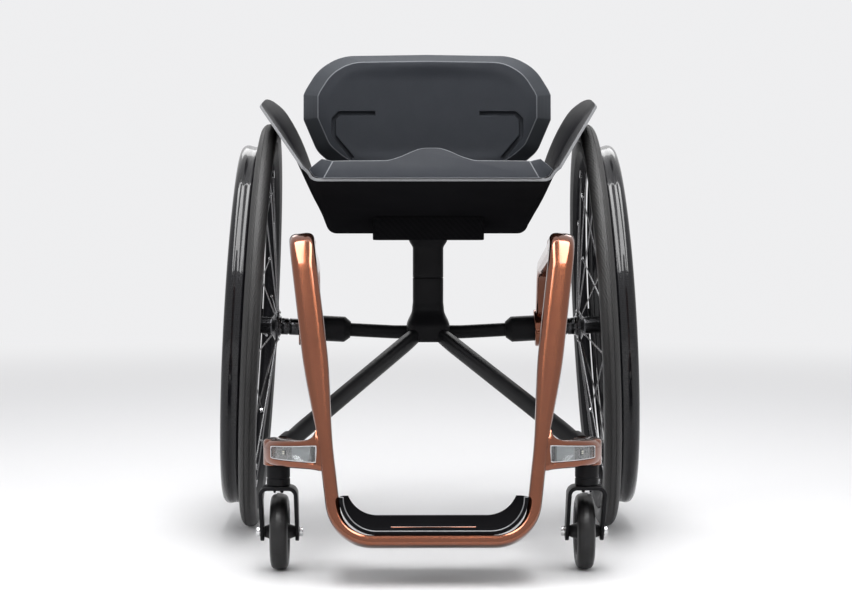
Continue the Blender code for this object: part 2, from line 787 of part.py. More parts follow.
def strut_path(side):
    top = Vector((STRUT_TOP[0], -STRUT_TOP[1], BEAM_Z + STRUT_TOP[2]))
    stem = Vector((CASTER_X, -STEM_REACH, ARM_Z))
    flat = Vector((stem.x - top.x, stem.y - top.y, 0)).normalized()
    end = stem - flat * (HOUSING_SHANK + 0.0055) + Vector((0, 0, 0.006))
    return [Vector((side * p.x, p.y + AXLE_Y, p.z)) for p in (top, end)]


def strut_rings(side, grow, lengthen):
    start, end = strut_path(side)
    along = (end - start).normalized()
    points = [start - along * lengthen, start.lerp(end, 0.12), start.lerp(end, 0.88), end + along * lengthen]
    slim = (STRUT_WIDTH + 2 * grow, STRUT_DEPTH + 2 * grow)
    wide = (STRUT_WIDTH + 0.002 + 2 * grow, STRUT_DEPTH + 0.003 + 2 * grow)
    return swept_rings(points, [slim, wide, wide, slim], (0, 0, 1), 0, STRUT_COUNT, 2.6)


def build_strut(side, word):
    finished(new_object("strut_" + word, loft_mesh(strut_rings(side, 0.0, 0.0))), "black_frame")


def arm_curve():
    # Plan of the caster arm's middle line from the upright to the stem, as (X, Y, tangent)
    root_z = ARM_Z
    share = (root_z - TOE_Z) / (KNEE_Z - TOE_Z)
    root = Vector((TOE_X + (KNEE_X - TOE_X) * share, -TOE_REACH + (TOE_REACH - KNEE_REACH) * share))
    end = Vector((CASTER_X, -STEM_REACH))
    first = root + Vector((0.026, 0.006))
    second = end + Vector((-0.010, -0.034))
    samples = []
    for i in range(ARM_STEPS + 1):
        t = i / ARM_STEPS
        u = 1 - t
        point = root * u ** 3 + first * 3 * u * u * t + second * 3 * u * t * t + end * t ** 3
        tangent = (first - root) * 3 * u * u + (second - first) * 6 * u * t + (end - second) * 3 * t * t
        samples.append((point, tangent.normalized()))
    return samples


def arm_size(t):
    ease = t * t * (3 - 2 * t)
    depth = ARM_ROOT_DEPTH + (2 * BARREL_RADIUS - ARM_ROOT_DEPTH) * ease
    return depth, ARM_ROOT_HEIGHT + (ARM_HEIGHT - ARM_ROOT_HEIGHT) * min(1.0, 3 * t)


def arm_body_rings(side):
    # The root's sections lean as the upright does, so that they stay inside it
    lean = Vector((KNEE_X - TOE_X, TOE_REACH - KNEE_REACH)) / (KNEE_Z - TOE_Z)
    rings = []
    for i, (point, tangent) in enumerate(arm_curve()):
        t = i / ARM_STEPS
        depth, height = arm_size(t)
        outward = Vector((tangent.y, -tangent.x))
        base = ARM_Z - ARM_HEIGHT / 2
        ring = []
        for a, b in rounded_section(depth, height, 12, 4.0):
            z = base + height / 2 + b
            spot = point + outward * a + lean * (z - ARM_Z) * max(0.0, 1 - 3 * t)
            ring.append(Vector((side * spot.x, spot.y + AXLE_Y, z)))
        rings.append(ring)
    return rings


def arm_strip_rings(side, outer, inner, trim):
    # A band let into the arm's front skin, between two depths below that skin
    rings = []
    first, last = WINDOW_START, WINDOW_END
    for k in range(ARM_STEPS - 1):
        t = first + (last - first) * k / (ARM_STEPS - 2)
        if k == 0:
            t += trim * 12
        if k == ARM_STEPS - 2:
            t -= trim * 12
        position = t * ARM_STEPS
        i = min(int(position), ARM_STEPS - 1)
        curve = arm_curve()
        point = curve[i][0].lerp(curve[i + 1][0], position - i)
        tangent = curve[i][1].lerp(curve[i + 1][1], position - i).normalized()
        outward = Vector((tangent.y, -tangent.x))
        skin = arm_size(t)[0] / 2
        half = (WINDOW_TALL + (WINDOW_LOW - WINDOW_TALL) * (t - first) / (last - first)) / 2 - trim
        ring = []
        for depth, height in ((outer, half), (inner, half), (inner, -half), (outer, -half)):
            spot = point + outward * (skin - depth)
            ring.append(Vector((side * spot.x, spot.y + AXLE_Y, WINDOW_Z + height)))
        rings.append(ring)
    return rings


def stem_matrix(side):
    # Local X points up along the caster stem
    place = Matrix.Translation((side * CASTER_X, AXLE_Y - STEM_REACH, 0))
    return place @ Matrix.Rotation(-math.pi / 2, 4, "Y")


def build_caster_arm(side, word, frame_cutter):
    arm = new_object("caster_arm_" + word, loft_mesh(arm_body_rings(side)))
    low, high = ARM_Z - ARM_HEIGHT / 2, ARM_Z + ARM_HEIGHT / 2
    round_over = 0.004
    barrel = turned("arm_barrel_" + word, [
        (low, 0.0),
        (low, BARREL_RADIUS),
        (high - round_over, BARREL_RADIUS),
        (high - round_over / 4, BARREL_RADIUS - round_over / 2),
        (high, BARREL_RADIUS - 2 * round_over),
        (high, 0.0),
    ], HUB_STEPS, matrix=stem_matrix(side))
    boolean(arm, barrel, "UNION")
    pocket = new_object("arm_pocket_" + word, loft_mesh(arm_strip_rings(side, -0.003, WINDOW_DEPTH, 0.0)))
    boolean(arm, pocket, "DIFFERENCE")
    start, end = strut_path(side)
    along = (end - start).normalized()
    socket_path = [end - along * STRUT_SOCKET, end]
    socket_size = (STRUT_WIDTH + 2 * STRUT_SOCKET_WALL, STRUT_DEPTH + 2 * STRUT_SOCKET_WALL)
    socket_rings = swept_rings(socket_path, [socket_size] * 2, (0, 0, 1), 0, STRUT_COUNT, 2.6)
    boolean(arm, new_object("arm_socket_" + word, loft_mesh(socket_rings)), "UNION")
    boolean(arm, frame_cutter, "DIFFERENCE")
    shank = HOUSING_SHANK + FIT
    bore_end = HOUSING_TOP + HOUSING_SHANK_LENGTH + 2 * FIT
    bore = turned("arm_bore_" + word, [(low - 0.01, 0.0), (low - 0.01, shank), (bore_end, shank), (bore_end, 0.0)],
                  SMALL_STEPS, matrix=stem_matrix(side))
    boolean(arm, bore, "DIFFERENCE")
    strut_cut = new_object("arm_strut_cut_" + word, loft_mesh(strut_rings(side, FIT, FIT)))
    boolean(arm, strut_cut, "DIFFERENCE")
    finished(arm, "copper")
    lens_rings = arm_strip_rings(side, FIT, FIT + LENS_THICK, FIT)
    finished(new_object("light_lens_" + word, loft_mesh(lens_rings)), "clear_lens")
    board_rings = arm_strip_rings(side, WINDOW_DEPTH - FIT - BOARD_THICK, WINDOW_DEPTH - FIT, 0.0008)
    finished(new_object("light_board_" + word, loft_mesh(board_rings)), "light_board")


def build_caster_bearing(side, word):
    matrix = stem_matrix(side)
    pocket = STEM_BEARING_RADIUS + FIT
    pocket_top = HOUSING_FOOT + STEM_BEARING_HEIGHT + 0.003
    core = 0.008
    shank_top = HOUSING_TOP + HOUSING_SHANK_LENGTH
    housing = turned("caster_housing_" + word, [
        (shank_top - 0.008, 0.0),
        (shank_top - 0.008, core),
        (pocket_top, core),
        (pocket_top, pocket),
        (HOUSING_FOOT, pocket),
        (HOUSING_FOOT, HOUSING_RADIUS - 0.0008),
        (HOUSING_FOOT + 0.0012, HOUSING_RADIUS),
        (HOUSING_TOP, HOUSING_RADIUS),
        (HOUSING_TOP, HOUSING_SHANK),
        (shank_top, HOUSING_SHANK),
        (shank_top, 0.0),
    ], SMALL_STEPS, matrix=matrix)
    finished(housing, "black_frame")
    bearing_top = pocket_top - FIT
    bearing = turned("stem_bearing_" + word, [
        (bearing_top - STEM_BEARING_HEIGHT, STEM_GAP_RADIUS),
        (bearing_top - STEM_BEARING_HEIGHT, STEM_BEARING_RADIUS),
        (bearing_top, STEM_BEARING_RADIUS),
        (bearing_top, STEM_GAP_RADIUS),
    ], SMALL_STEPS, matrix=matrix)
    finished(bearing, "steel")


def build_caster(side, word):
    swivel = empty("caster_swivel_axis_" + word, Matrix.Translation((side * CASTER_X, AXLE_Y - STEM_REACH, 0)))
    half = FORK_WIDTH / 2
    inner = half - FORK_WALL
    crown = FORK_TOP - FORK_WALL
    outline = [(half, 0.02)] + arc((half - FORK_CORNER, FORK_TOP - FORK_CORNER), FORK_CORNER, 0, 90, 4)
    outline += arc((-half + FORK_CORNER, FORK_TOP - FORK_CORNER), FORK_CORNER, 90, 180, 4) + [(-half, 0.02)]
    inner_corner = FORK_CORNER - FORK_WALL
    outline += [(-inner, 0.02)] + arc((-inner + inner_corner, crown - inner_corner), inner_corner, 180, 90, 3)
    outline += arc((inner - inner_corner, crown - inner_corner), inner_corner, 90, 0, 3) + [(inner, 0.02)]
    fork = new_object("caster_fork_" + word, prism_mesh(outline, -0.05, 0.09, "Y"), swivel)
    profile = [(-FORK_CROWN_HALF, FORK_TOP + 0.01), (-FORK_CROWN_HALF, FORK_TOP - 0.012)]
    profile += arc((CASTER_TRAIL, CASTER_RADIUS), FORK_EYE_RADIUS, 200, 370, 8)
    profile += [(FORK_CROWN_HALF + 0.004, FORK_TOP - 0.014), (FORK_CROWN_HALF, FORK_TOP + 0.01)]
    side_view = new_object("fork_side_" + word, prism_mesh(profile, -0.04, 0.04, "X"), swivel)
    boolean(fork, side_view, "INTERSECT")
    wheel_place = Matrix.Translation((0, CASTER_TRAIL, CASTER_RADIUS))
    hole = STEM_RADIUS + FIT
    axle_hole = turned("fork_axle_hole_" + word, [(-0.04, 0.0), (-0.04, hole), (0.04, hole), (0.04, 0.0)],
                       SMALL_STEPS, swivel, wheel_place)
    boolean(fork, axle_hole, "DIFFERENCE")
    upright = Matrix.Rotation(-math.pi / 2, 4, "Y")
    low, high = crown - 0.01, FORK_TOP + 0.02
    stem_hole = turned("fork_stem_hole_" + word, [(low, 0.0), (low, hole), (high, hole), (high, 0.0)],
                       SMALL_STEPS, swivel, upright)
    boolean(fork, stem_hole, "DIFFERENCE")
    finished(fork, "black_frame")

    nut_low = HOUSING_FOOT + STEM_BEARING_HEIGHT + 0.003 + 0.004
    stem = turned("caster_stem_bolt_" + word, [
        (crown - 0.0045, 0.0),
        (crown - 0.0045, 0.0055),
        (crown - 0.0035, 0.0070),
        (crown - FIT, 0.0070),
        (crown - FIT, STEM_RADIUS),
        (nut_low, STEM_RADIUS),
        (nut_low, 0.0065),
        (nut_low + 0.006, 0.0065),
        (nut_low + 0.006, 0.0),
    ], SMALL_STEPS, swivel, upright)
    finished(stem, "steel")

    spin = empty("caster_spin_axis_" + word, wheel_place, swivel)
    bolt_out = half + FIT + 0.005
    bolt = turned("caster_axle_bolt_" + word, [
        (-bolt_out, 0.0),
        (-bolt_out, CASTER_BOLT_HEAD - 0.001),
        (-bolt_out + 0.001, CASTER_BOLT_HEAD),
        (-half - FIT, CASTER_BOLT_HEAD),
        (-half - FIT, STEM_RADIUS),
        (half + FIT, STEM_RADIUS),
        (half + FIT, CASTER_BOLT_HEAD),
        (bolt_out - 0.001, CASTER_BOLT_HEAD),
        (bolt_out, CASTER_BOLT_HEAD - 0.001),
        (bolt_out, 0.0),
    ], SMALL_STEPS, swivel, wheel_place)
    finished(bolt, "steel")

    boss = inner - FIT
    half_profile = [
        (boss, STEM_GAP_RADIUS),
        (boss, 0.0072),
        (0.0050, 0.0130),
        (0.0050, 0.0300),
        (0.0110, 0.0325),
        (0.0110, CASTER_HUB_RADIUS),
    ]
    profile = half_profile + [(-x, r) for x, r in reversed(half_profile)]
    finished(turned("caster_wheel_" + word, profile, CASTER_STEPS, spin), "black_plastic")
    half_profile = [
        (CASTER_HALF - 0.0007, CASTER_HUB_RADIUS + FIT),
        (CASTER_HALF, CASTER_RADIUS - 0.0078),
        (CASTER_HALF - 0.0037, CASTER_RADIUS - 0.0018),
    ]
    profile = half_profile + [(0.0, CASTER_RADIUS)] + [(-x, r) for x, r in reversed(half_profile)]
    finished(turned("caster_tyre_" + word, profile, CASTER_STEPS, spin), "rubber")


def build_footplate(frame_cutter):
    top = [(PLATE_FLAT, PLATE_TOP)] + arc((PLATE_FLAT, PLATE_TOP + PLATE_BEND), PLATE_BEND, -78, 2, 6)
    under_radius = PLATE_BEND + PLATE_WALL
    under = [(PLATE_FLAT, PLATE_TOP - PLATE_WALL)]
    under += arc((PLATE_FLAT, PLATE_TOP + PLATE_BEND), under_radius, -78, 2, 6)
    outline = top + list(reversed(under))
    outline += [(-x, z) for x, z in under] + [(-x, z) for x, z in reversed(top)]
    plate = new_object("footplate", prism_mesh(outline, AXLE_Y - PLATE_FRONT, AXLE_Y - PLATE_REAR, "Y"))
    boolean(plate, frame_cutter, "DIFFERENCE")
    front, rear, above = AXLE_Y - PLATE_FRONT, AXLE_Y - PLATE_REAR, PLATE_TOP + 2 * PLATE_BEND
    slope = (WING_REAR_Z - WING_FRONT_Z) / (rear - front)
    reach = 0.02
    wing_cut = [(front - reach, WING_FRONT_Z - slope * reach), (rear + reach, WING_REAR_Z + slope * reach),
                (rear + reach, above), (front - reach, above)]
    boolean(plate, new_object("wing_trim", prism_mesh(wing_cut, -CASTER_X, CASTER_X, "X")), "DIFFERENCE")
    groove = bmesh.new()
    bmesh.ops.create_cube(groove, size=1.0)
    size = (2 * (TRIM_HALF + FIT), TRIM_WIDTH + 2 * FIT, 2 * (TRIM_DEPTH + FIT))
    bmesh.ops.scale(groove, vec=size, verts=groove.verts)
    bmesh.ops.translate(groove, vec=(0, AXLE_Y - TRIM_REACH, PLATE_TOP), verts=groove.verts)
    boolean(plate, new_object("trim_groove", groove), "DIFFERENCE")
    finished(plate, "matt_carbon")
    strip = bmesh.new()
    bmesh.ops.create_cube(strip, size=1.0)
    bmesh.ops.scale(strip, vec=(2 * TRIM_HALF, TRIM_WIDTH, TRIM_DEPTH), verts=strip.verts)
    bmesh.ops.translate(strip, vec=(0, AXLE_Y - TRIM_REACH, PLATE_TOP - TRIM_DEPTH / 2), verts=strip.verts)
    finished(new_object("footplate_strip", strip), "copper")


def square_ring(width, front, back, z, count=16):
    ring = []
    for a, b in rounded_section(width, front + back, count, 5.0):
        ring.append(Vector((a, AXLE_Y + b + (back - front) / 2, z)))
    return ring


def build_column_base():
    half = COLUMN_WIDTH / 2
    top = COLUMN_SEAM_Z - FIT
    rings = [
        square_ring(BASE_FOOT_WIDTH - 0.006, BASE_FRONT - 0.003, BASE_BACK - 0.003, BASE_FOOT_Z),
        square_ring(BASE_FOOT_WIDTH, BASE_FRONT, BASE_BACK, BASE_FOOT_Z + 0.003),
        square_ring(BASE_FOOT_WIDTH, BASE_FRONT, BASE_BACK, BEAM_Z + 0.011),
        square_ring(BASE_FOOT_WIDTH - 0.011, BASE_FRONT - 0.012, BASE_BACK - 0.002, BEAM_Z + 0.018),
        square_ring(COLUMN_WIDTH + 0.003, half + 0.003, half + 0.001, BEAM_Z + 0.032),
        square_ring(COLUMN_WIDTH, half, half, BEAM_Z + 0.045),
        square_ring(COLUMN_WIDTH, half, half, top),
    ]
    base = new_object("column_base", loft_mesh(rings))
    ears = bmesh.new()
    bmesh.ops.create_cube(ears, size=1.0)
    bmesh.ops.scale(ears, vec=(PINCH_WIDTH, PINCH_LENGTH + 0.004, PINCH_HEIGHT), verts=ears.verts)
    ear_y = AXLE_Y + half + (PINCH_LENGTH - 0.004) / 2
    ear_z = top - 0.002 - PINCH_HEIGHT / 2
    bmesh.ops.translate(ears, vec=(0, ear_y, ear_z), verts=ears.verts)
    boolean(base, new_object("base_ears", ears), "UNION")
    socket_width = SPIGOT_POST + 2 * FIT
    socket_low = COLUMN_SEAM_Z - POST_INSERT - 2 * FIT
    socket = loft_mesh([
        square_ring(socket_width, socket_width / 2, socket_width / 2, socket_low),
        square_ring(socket_width, socket_width / 2, socket_width / 2, top + 0.01),
    ])
    boolean(base, new_object("base_socket", socket), "DIFFERENCE")
    slit = bmesh.new()
    bmesh.ops.create_cube(slit, size=1.0)
    slit_height = PINCH_HEIGHT + 0.012
    bmesh.ops.scale(slit, vec=(PINCH_SLIT, PINCH_LENGTH + 0.02, slit_height), verts=slit.verts)
    slit_y = AXLE_Y + half + PINCH_LENGTH / 2
    bmesh.ops.translate(slit, vec=(0, slit_y, top + 0.002 - slit_height / 2), verts=slit.verts)
    boolean(base, new_object("base_slit", slit), "DIFFERENCE")
    beam_bore = BEAM_RADIUS + FIT
    reach = BASE_FOOT_WIDTH
    beam_cut = turned("base_bore", [(-reach, 0.0), (-reach, beam_bore), (reach, beam_bore), (reach, 0.0)],
                      HUB_STEPS, matrix=Matrix.Translation((0, AXLE_Y, BEAM_Z)))
    boolean(base, beam_cut, "DIFFERENCE")
    screw_y = AXLE_Y + half + PINCH_LENGTH * 0.5
    screw_place = Matrix.Translation((0, screw_y, ear_z))
    screw_hole = PINCH_SCREW_RADIUS + FIT
    hole = turned("base_screw_hole", [(-0.03, 0.0), (-0.03, screw_hole), (0.03, screw_hole), (0.03, 0.0)],
                  SMALL_STEPS, matrix=screw_place)
    boolean(base, hole, "DIFFERENCE")
    strut_cuts = [loft_mesh(strut_rings(side, FIT, FIT)) for side in (-1, 1)]
    boolean(base, new_object("base_strut_cuts", joined_mesh(strut_cuts)), "DIFFERENCE")
    finished(base, "black_frame")
    head = PINCH_WIDTH / 2 + FIT
    screw = turned("post_clamp_screw", [
        (-head - 0.004, 0.0),
        (-head - 0.004, 0.0042),
        (-head, 0.0042),
        (-head, PINCH_SCREW_RADIUS),
        (head, PINCH_SCREW_RADIUS),
        (head, 0.0042),
        (head + 0.004, 0.0042),
        (head + 0.004, 0.0),
    ], SMALL_STEPS, matrix=screw_place)
    finished(screw, "steel")


def build_seat_post(seat_axis):
    half = COLUMN_WIDTH / 2
    spigot_half = SPIGOT_POST / 2
    rings = [
        square_ring(SPIGOT_POST, spigot_half, spigot_half, COLUMN_SEAM_Z - POST_INSERT),
        square_ring(SPIGOT_POST, spigot_half, spigot_half, COLUMN_SEAM_Z),
        square_ring(COLUMN_WIDTH, half, half, COLUMN_SEAM_Z),
        square_ring(COLUMN_WIDTH, half, half, MOUNT_PLATE_Z - 0.012),
        square_ring(COLUMN_WIDTH + 0.010, half + 0.005, half + 0.005, MOUNT_PLATE_Z - FIT),
    ]
    finished(new_object("seat_post", loft_mesh(rings), seat_axis), "black_frame")


def floor_z(y):
    share = (y - SHELL_FRONT) / (SHELL_REAR - SHELL_FRONT)
    return FLOOR_FRONT_Z + (FLOOR_REAR_Z - FLOOR_FRONT_Z) * share


def floor_half(y):
    share = (y - SHELL_FRONT) / (SHELL_REAR - SHELL_FRONT)
    return FLOOR_FRONT_HALF + (FLOOR_REAR_HALF - FLOOR_FRONT_HALF) * share


def build_mount_plate(seat_axis):
    rings = []
    corner = 0.012
    for lift in (0, 1):
        ring = []
        for sx, sy in ((1, -1), (1, 1), (-1, 1), (-1, -1)):
            along, across = MOUNT_PLATE_REACH - corner, MOUNT_PLATE_HALF - corner
            start = {(1, -1): -90, (1, 1): 0, (-1, 1): 90, (-1, -1): 180}[(sx, sy)]
            for x, y in arc((sx * across, sy * along), corner, start, start + 90, 3):
                z = floor_z(y) - FIT if lift else MOUNT_PLATE_Z
                ring.append(Vector((x, AXLE_Y + y, z)))
        rings.append(ring)
    finished(new_object("seat_mount_plate", loft_mesh(rings), seat_axis), "black_frame")


def guard_stations():
    # The guard's straight front edge is divided evenly; the rest follows its listed points
    first, second = GUARD_EDGE[0], GUARD_EDGE[1]
    stations = []
    for i in range(FRONT_EDGE_STEPS):
        share = i / FRONT_EDGE_STEPS
        stations.append(tuple(a + (b - a) * share for a, b in zip(first, second)))
    return stations + GUARD_EDGE[1:]


def guard_edge_at(y):
    stations = guard_stations()
    for low, high in zip(stations, stations[1:]):
        if y <= high[0]:
            share = max(0.0, (y - low[0]) / (high[0] - low[0]))
            return (low[1] + (high[1] - low[1]) * share, low[2] + (high[2] - low[2]) * share)
    return stations[-1][1:]


def shell_side(y):
    # One station's outer line: a rounded floor corner, then a curve up to the guard's edge
    edge = Vector(guard_edge_at(y))
    knee = Vector((floor_half(y), floor_z(y)))
    width, height = edge - knee
    lean = Vector((0.35 * width, 0.33 * height))
    turn = math.atan2(lean.y, lean.x)
    tangent = min(FLOOR_CORNER * math.tan(turn / 2), 0.4 * (edge - knee).length)
    radius = tangent / math.tan(turn / 2)
    line = arc((knee.x - tangent, knee.y + radius), radius, -90, -90 + math.degrees(turn), 3)
    line = [Vector(point) for point in line]
    p0 = line[-1]
    p1 = knee + lean.normalized() * max(lean.length, 1.2 * tangent)
    p2 = knee + Vector((0.475 * width, 0.705 * height))
    for i in range(1, WALL_STEPS + 1):
        t = i / WALL_STEPS
        u = 1 - t
        line.append(p0 * u ** 3 + p1 * 3 * u * u * t + p2 * 3 * u * t * t + edge * t ** 3)
    return line


def room_inside(y, z, widest):
    # How wide the cushion may be at a height: the outer line moved in by the wall and a gap
    line = shell_side(y)
    moved = []
    for i, point in enumerate(line):
        along = (line[min(i + 1, len(line) - 1)] - line[max(i - 1, 0)]).normalized()
        moved.append(point + Vector((-along.y, along.x)) * (SHELL_WALL + CUSHION_CLEAR))
    if z >= line[-1].y + SHELL_WALL + CUSHION_CLEAR:
        return widest
    for low, high in zip(moved, moved[1:]):
        if z <= high.y:
            share = max(0.0, (z - low.y) / (high.y - low.y))
            return min(widest, low.x + (high.x - low.x) * share)
    return min(widest, moved[-1].x)


def build_seat_shell(seat_axis):
    bm = bmesh.new()
    rows = []
    for y, _, _ in guard_stations():
        side = [(0.0, floor_z(y)), (floor_half(y) / 2, floor_z(y))]
        side += [tuple(point) for point in shell_side(y)]
        row = [(-x, z) for x, z in reversed(side[1:])] + side
        rows.append([bm.verts.new((x, AXLE_Y + y, z)) for x, z in row])
    for low, high in zip(rows, rows[1:]):
        for i in range(len(low) - 1):
            bm.faces.new((low[i], low[i + 1], high[i + 1], high[i]))
    for face in bm.faces:
        face.normal_update()
    shell = new_object("seat_shell", bm, seat_axis)
    if shell.data.polygons[len(rows[0]) // 2].normal.z > 0:
        shell.data.flip_normals()
    solid = shell.modifiers.new("wall", "SOLIDIFY")
    solid.thickness = SHELL_WALL
    solid.offset = -1.0
    solid.use_even_offset = True
    finished(shell, "matt_carbon")


def shell_inside_z(y):
    # Height at which a piece lies on the shell's floor, just clear of it
    return floor_z(max(y, SHELL_FRONT)) + SHELL_WALL * 1.02 + FIT


def cushion_ring(y, place_y, inset):
    share = (y - CUSHION_FRONT) / (CUSHION_REAR - CUSHION_FRONT)
    bottom = shell_inside_z(y)
    height = CUSHION_HEIGHT + (CUSHION_REAR_HEIGHT - CUSHION_HEIGHT) * share
    top = bottom + height
    fade = min(1.0, (y - CUSHION_FRONT) / POMMEL_LENGTH)
    pommel = POMMEL_HEIGHT * (1 - fade * fade * (3 - 2 * fade))
    widest = CUSHION_HALF * (1 - 0.06 * share)
    tip_z = bottom + height * 0.65
    shoulder_z = top + 0.0054
    shoulder = min(CUSHION_SHOULDER, room_inside(y, shoulder_z, widest) - 0.006)
    corner_z = bottom + 0.0038
    side = [
        (0.0, bottom),
        (min(CUSHION_SHOULDER + 0.001, room_inside(y, bottom, widest) - 0.001), bottom),
        (room_inside(y, corner_z, widest - 0.0076), corner_z),
        (room_inside(y, tip_z, widest), tip_z),
        (shoulder, shoulder_z),
        (min(CUSHION_CREASE, shoulder - 0.012), top),
        (POMMEL_HALF, top - 0.001 * share),
        (POMMEL_HALF * 0.45, top + pommel * 0.55 - 0.001 * share),
        (0.0, top + pommel),
    ]
    middle_z = (bottom + top) / 2
    ring = []
    for x, z in side + [(-x, z) for x, z in reversed(side[1:-1])]:
        x *= 1 - inset * 3
        z += (middle_z - z) * inset * 10
        ring.append(Vector((x, AXLE_Y + place_y, z)))
    return ring


def build_cushion(seat_axis):
    rings = [cushion_ring(CUSHION_FRONT, CUSHION_FRONT, 0.009)]
    first, last = CUSHION_FRONT + 0.004, CUSHION_REAR - 0.010
    for i in range(CUSHION_STEPS + 1):
        y = first + (last - first) * (i / CUSHION_STEPS) ** 1.35
        rings.append(cushion_ring(y, y, 0.0))
    rings.append(cushion_ring(CUSHION_REAR, CUSHION_REAR, 0.02))
    finished(new_object("seat_cushion", loft_mesh(rings), seat_axis), "foam_cover")


def back_ring(y, side_inset, top_inset):
    right = []
    for x, z in BACK_OUTLINE:
        widest = max(point[0] for point in BACK_OUTLINE)
        highest = BACK_OUTLINE[-1][1]
        lowest = BACK_OUTLINE[0][1]
        middle = (highest + lowest) / 2
        right.append((x * (1 - side_inset / widest), middle + (z - middle) * (1 - 2 * top_inset / (highest - lowest))))
    outline = right + [(-x, z) for x, z in reversed(right[1:-1])]
    return [Vector((x, -y, z)) for x, z in outline]


def channel_rings(side):
    points = [Vector((side * x, -PAD_FRONT, z)) for x, z in CHANNEL]
    sizes = [(CHANNEL_WIDTH, 2 * CHANNEL_DEPTH)] * len(points)
    return swept_rings(points, sizes, (0, -1, 0), 0, 8, 4.0)


def build_backrest(seat_axis):
    hinge = empty("backrest_hinge_axis", Matrix.Translation((0, AXLE_Y + BACK_HINGE_BACK, BACK_HINGE_Z))
                  @ Matrix.Rotation(-BACK_RECLINE, 4, "X"), seat_axis)
    pad = new_object("backrest_pad", loft_mesh([
        back_ring(PAD_REAR, 0.003, 0.002),
        back_ring(PAD_REAR + 0.003, 0.0, 0.0),
        back_ring(PAD_RIM, 0.0, 0.0),
        back_ring(PAD_FRONT - 0.002, PAD_SIDE_INSET - 0.003, PAD_TOP_INSET - 0.0015),
        back_ring(PAD_FRONT, PAD_SIDE_INSET, PAD_TOP_INSET),
    ]), hinge)
    channels = [loft_mesh(channel_rings(side)) for side in (-1, 1)]
    boolean(pad, new_object("pad_channels", joined_mesh(channels), hinge), "DIFFERENCE")
    finished(pad, "foam_cover")

    front = PAD_REAR - FIT
    shell = new_object("backrest_shell", loft_mesh([
        back_ring(front, BACK_SHELL_INSET, BACK_SHELL_INSET),
        back_ring(front - BACK_SHELL_WALL * 0.5, BACK_SHELL_INSET, BACK_SHELL_INSET),
        back_ring(front - BACK_SHELL_WALL, 0.030, 0.020),
    ]), hinge)
    cheeks = []
    for side in (-1, 1):
        for edge in (-1, 1):
            near = side * HINGE_X + edge * (BRACKET_WIDTH / 2 + FIT)
            far = near + edge * CHEEK
            outline = [(-front + 0.008, HINGE_EYE + 0.010)] + arc((0, 0), HINGE_EYE, 60, -110, 5)
            outline += [(-front + 0.008, -HINGE_EYE * 0.6)]
            cheeks.append(prism_mesh(outline, near, far, "X"))
    boolean(shell, new_object("shell_cheeks", joined_mesh(cheeks), hinge), "UNION")
    hole = HINGE_PIN + FIT
    cuts = []
    for side in (-1, 1):
        low, high = side * HINGE_X - 0.03, side * HINGE_X + 0.03
        cuts.append(turned_mesh([(low, 0.0), (low, hole), (high, hole), (high, 0.0)], SMALL_STEPS))
    boolean(shell, new_object("shell_pin_holes", joined_mesh(cuts), hinge), "DIFFERENCE")
    finished(shell, "matt_carbon")
    return hinge


def bracket_outline():
    # Side view of the bracket about the hinge: a foot inside the shell, a leaning leg and the eye
    foot_front = BRACKET_FOOT_FRONT - BACK_HINGE_BACK
    foot_rear = BRACKET_FOOT_REAR - BACK_HINGE_BACK
    floor_front = shell_inside_z(BRACKET_FOOT_FRONT) - BACK_HINGE_Z
    floor_rear = shell_inside_z(BRACKET_FOOT_REAR) - BACK_HINGE_Z
    outline = arc((0, 0), HINGE_EYE, -38, 218, 10)
    outline += [(-BRACKET_FRONT, -0.032), (-0.030, -0.068), (-0.040, floor_front + BRACKET_FOOT_THICK)]
    outline += [(foot_front, floor_front + BRACKET_FOOT_THICK), (foot_front, floor_front)]
    outline += [(foot_rear, floor_rear), (foot_rear, floor_rear + BRACKET_FOOT_THICK), (BRACKET_REAR, -0.040)]
    return outline


def build_bracket(side, word, seat_axis):
    place = Matrix.Translation((0, AXLE_Y + BACK_HINGE_BACK, BACK_HINGE_Z))
    low, high = side * HINGE_X - BRACKET_WIDTH / 2, side * HINGE_X + BRACKET_WIDTH / 2
    bracket = new_object("backrest_bracket_" + word, prism_mesh(bracket_outline(), low, high, "X"), seat_axis)
    bracket.matrix_local = place
    hole = HINGE_PIN + FIT
    cut = turned("bracket_hole_" + word, [(low - 0.01, 0.0), (low - 0.01, hole), (high + 0.01, hole), (high + 0.01, 0.0)],
                 SMALL_STEPS, seat_axis, place)
    boolean(bracket, cut, "DIFFERENCE")
    finished(bracket, "black_frame")
    reach = BRACKET_WIDTH / 2 + CHEEK + 2 * FIT
    middle = side * HINGE_X
    pin = turned("backrest_hinge_pin_" + word, [
        (middle - reach - 0.003, 0.0),
        (middle - reach - 0.003, HINGE_PIN_HEAD),
        (middle - reach, HINGE_PIN_HEAD),
        (middle - reach, HINGE_PIN),
        (middle + reach, HINGE_PIN),
        (middle + reach, HINGE_PIN_HEAD),
        (middle + reach + 0.003, HINGE_PIN_HEAD),
        (middle + reach + 0.003, 0.0),
    ], SMALL_STEPS, seat_axis, place)
    finished(pin, "steel")


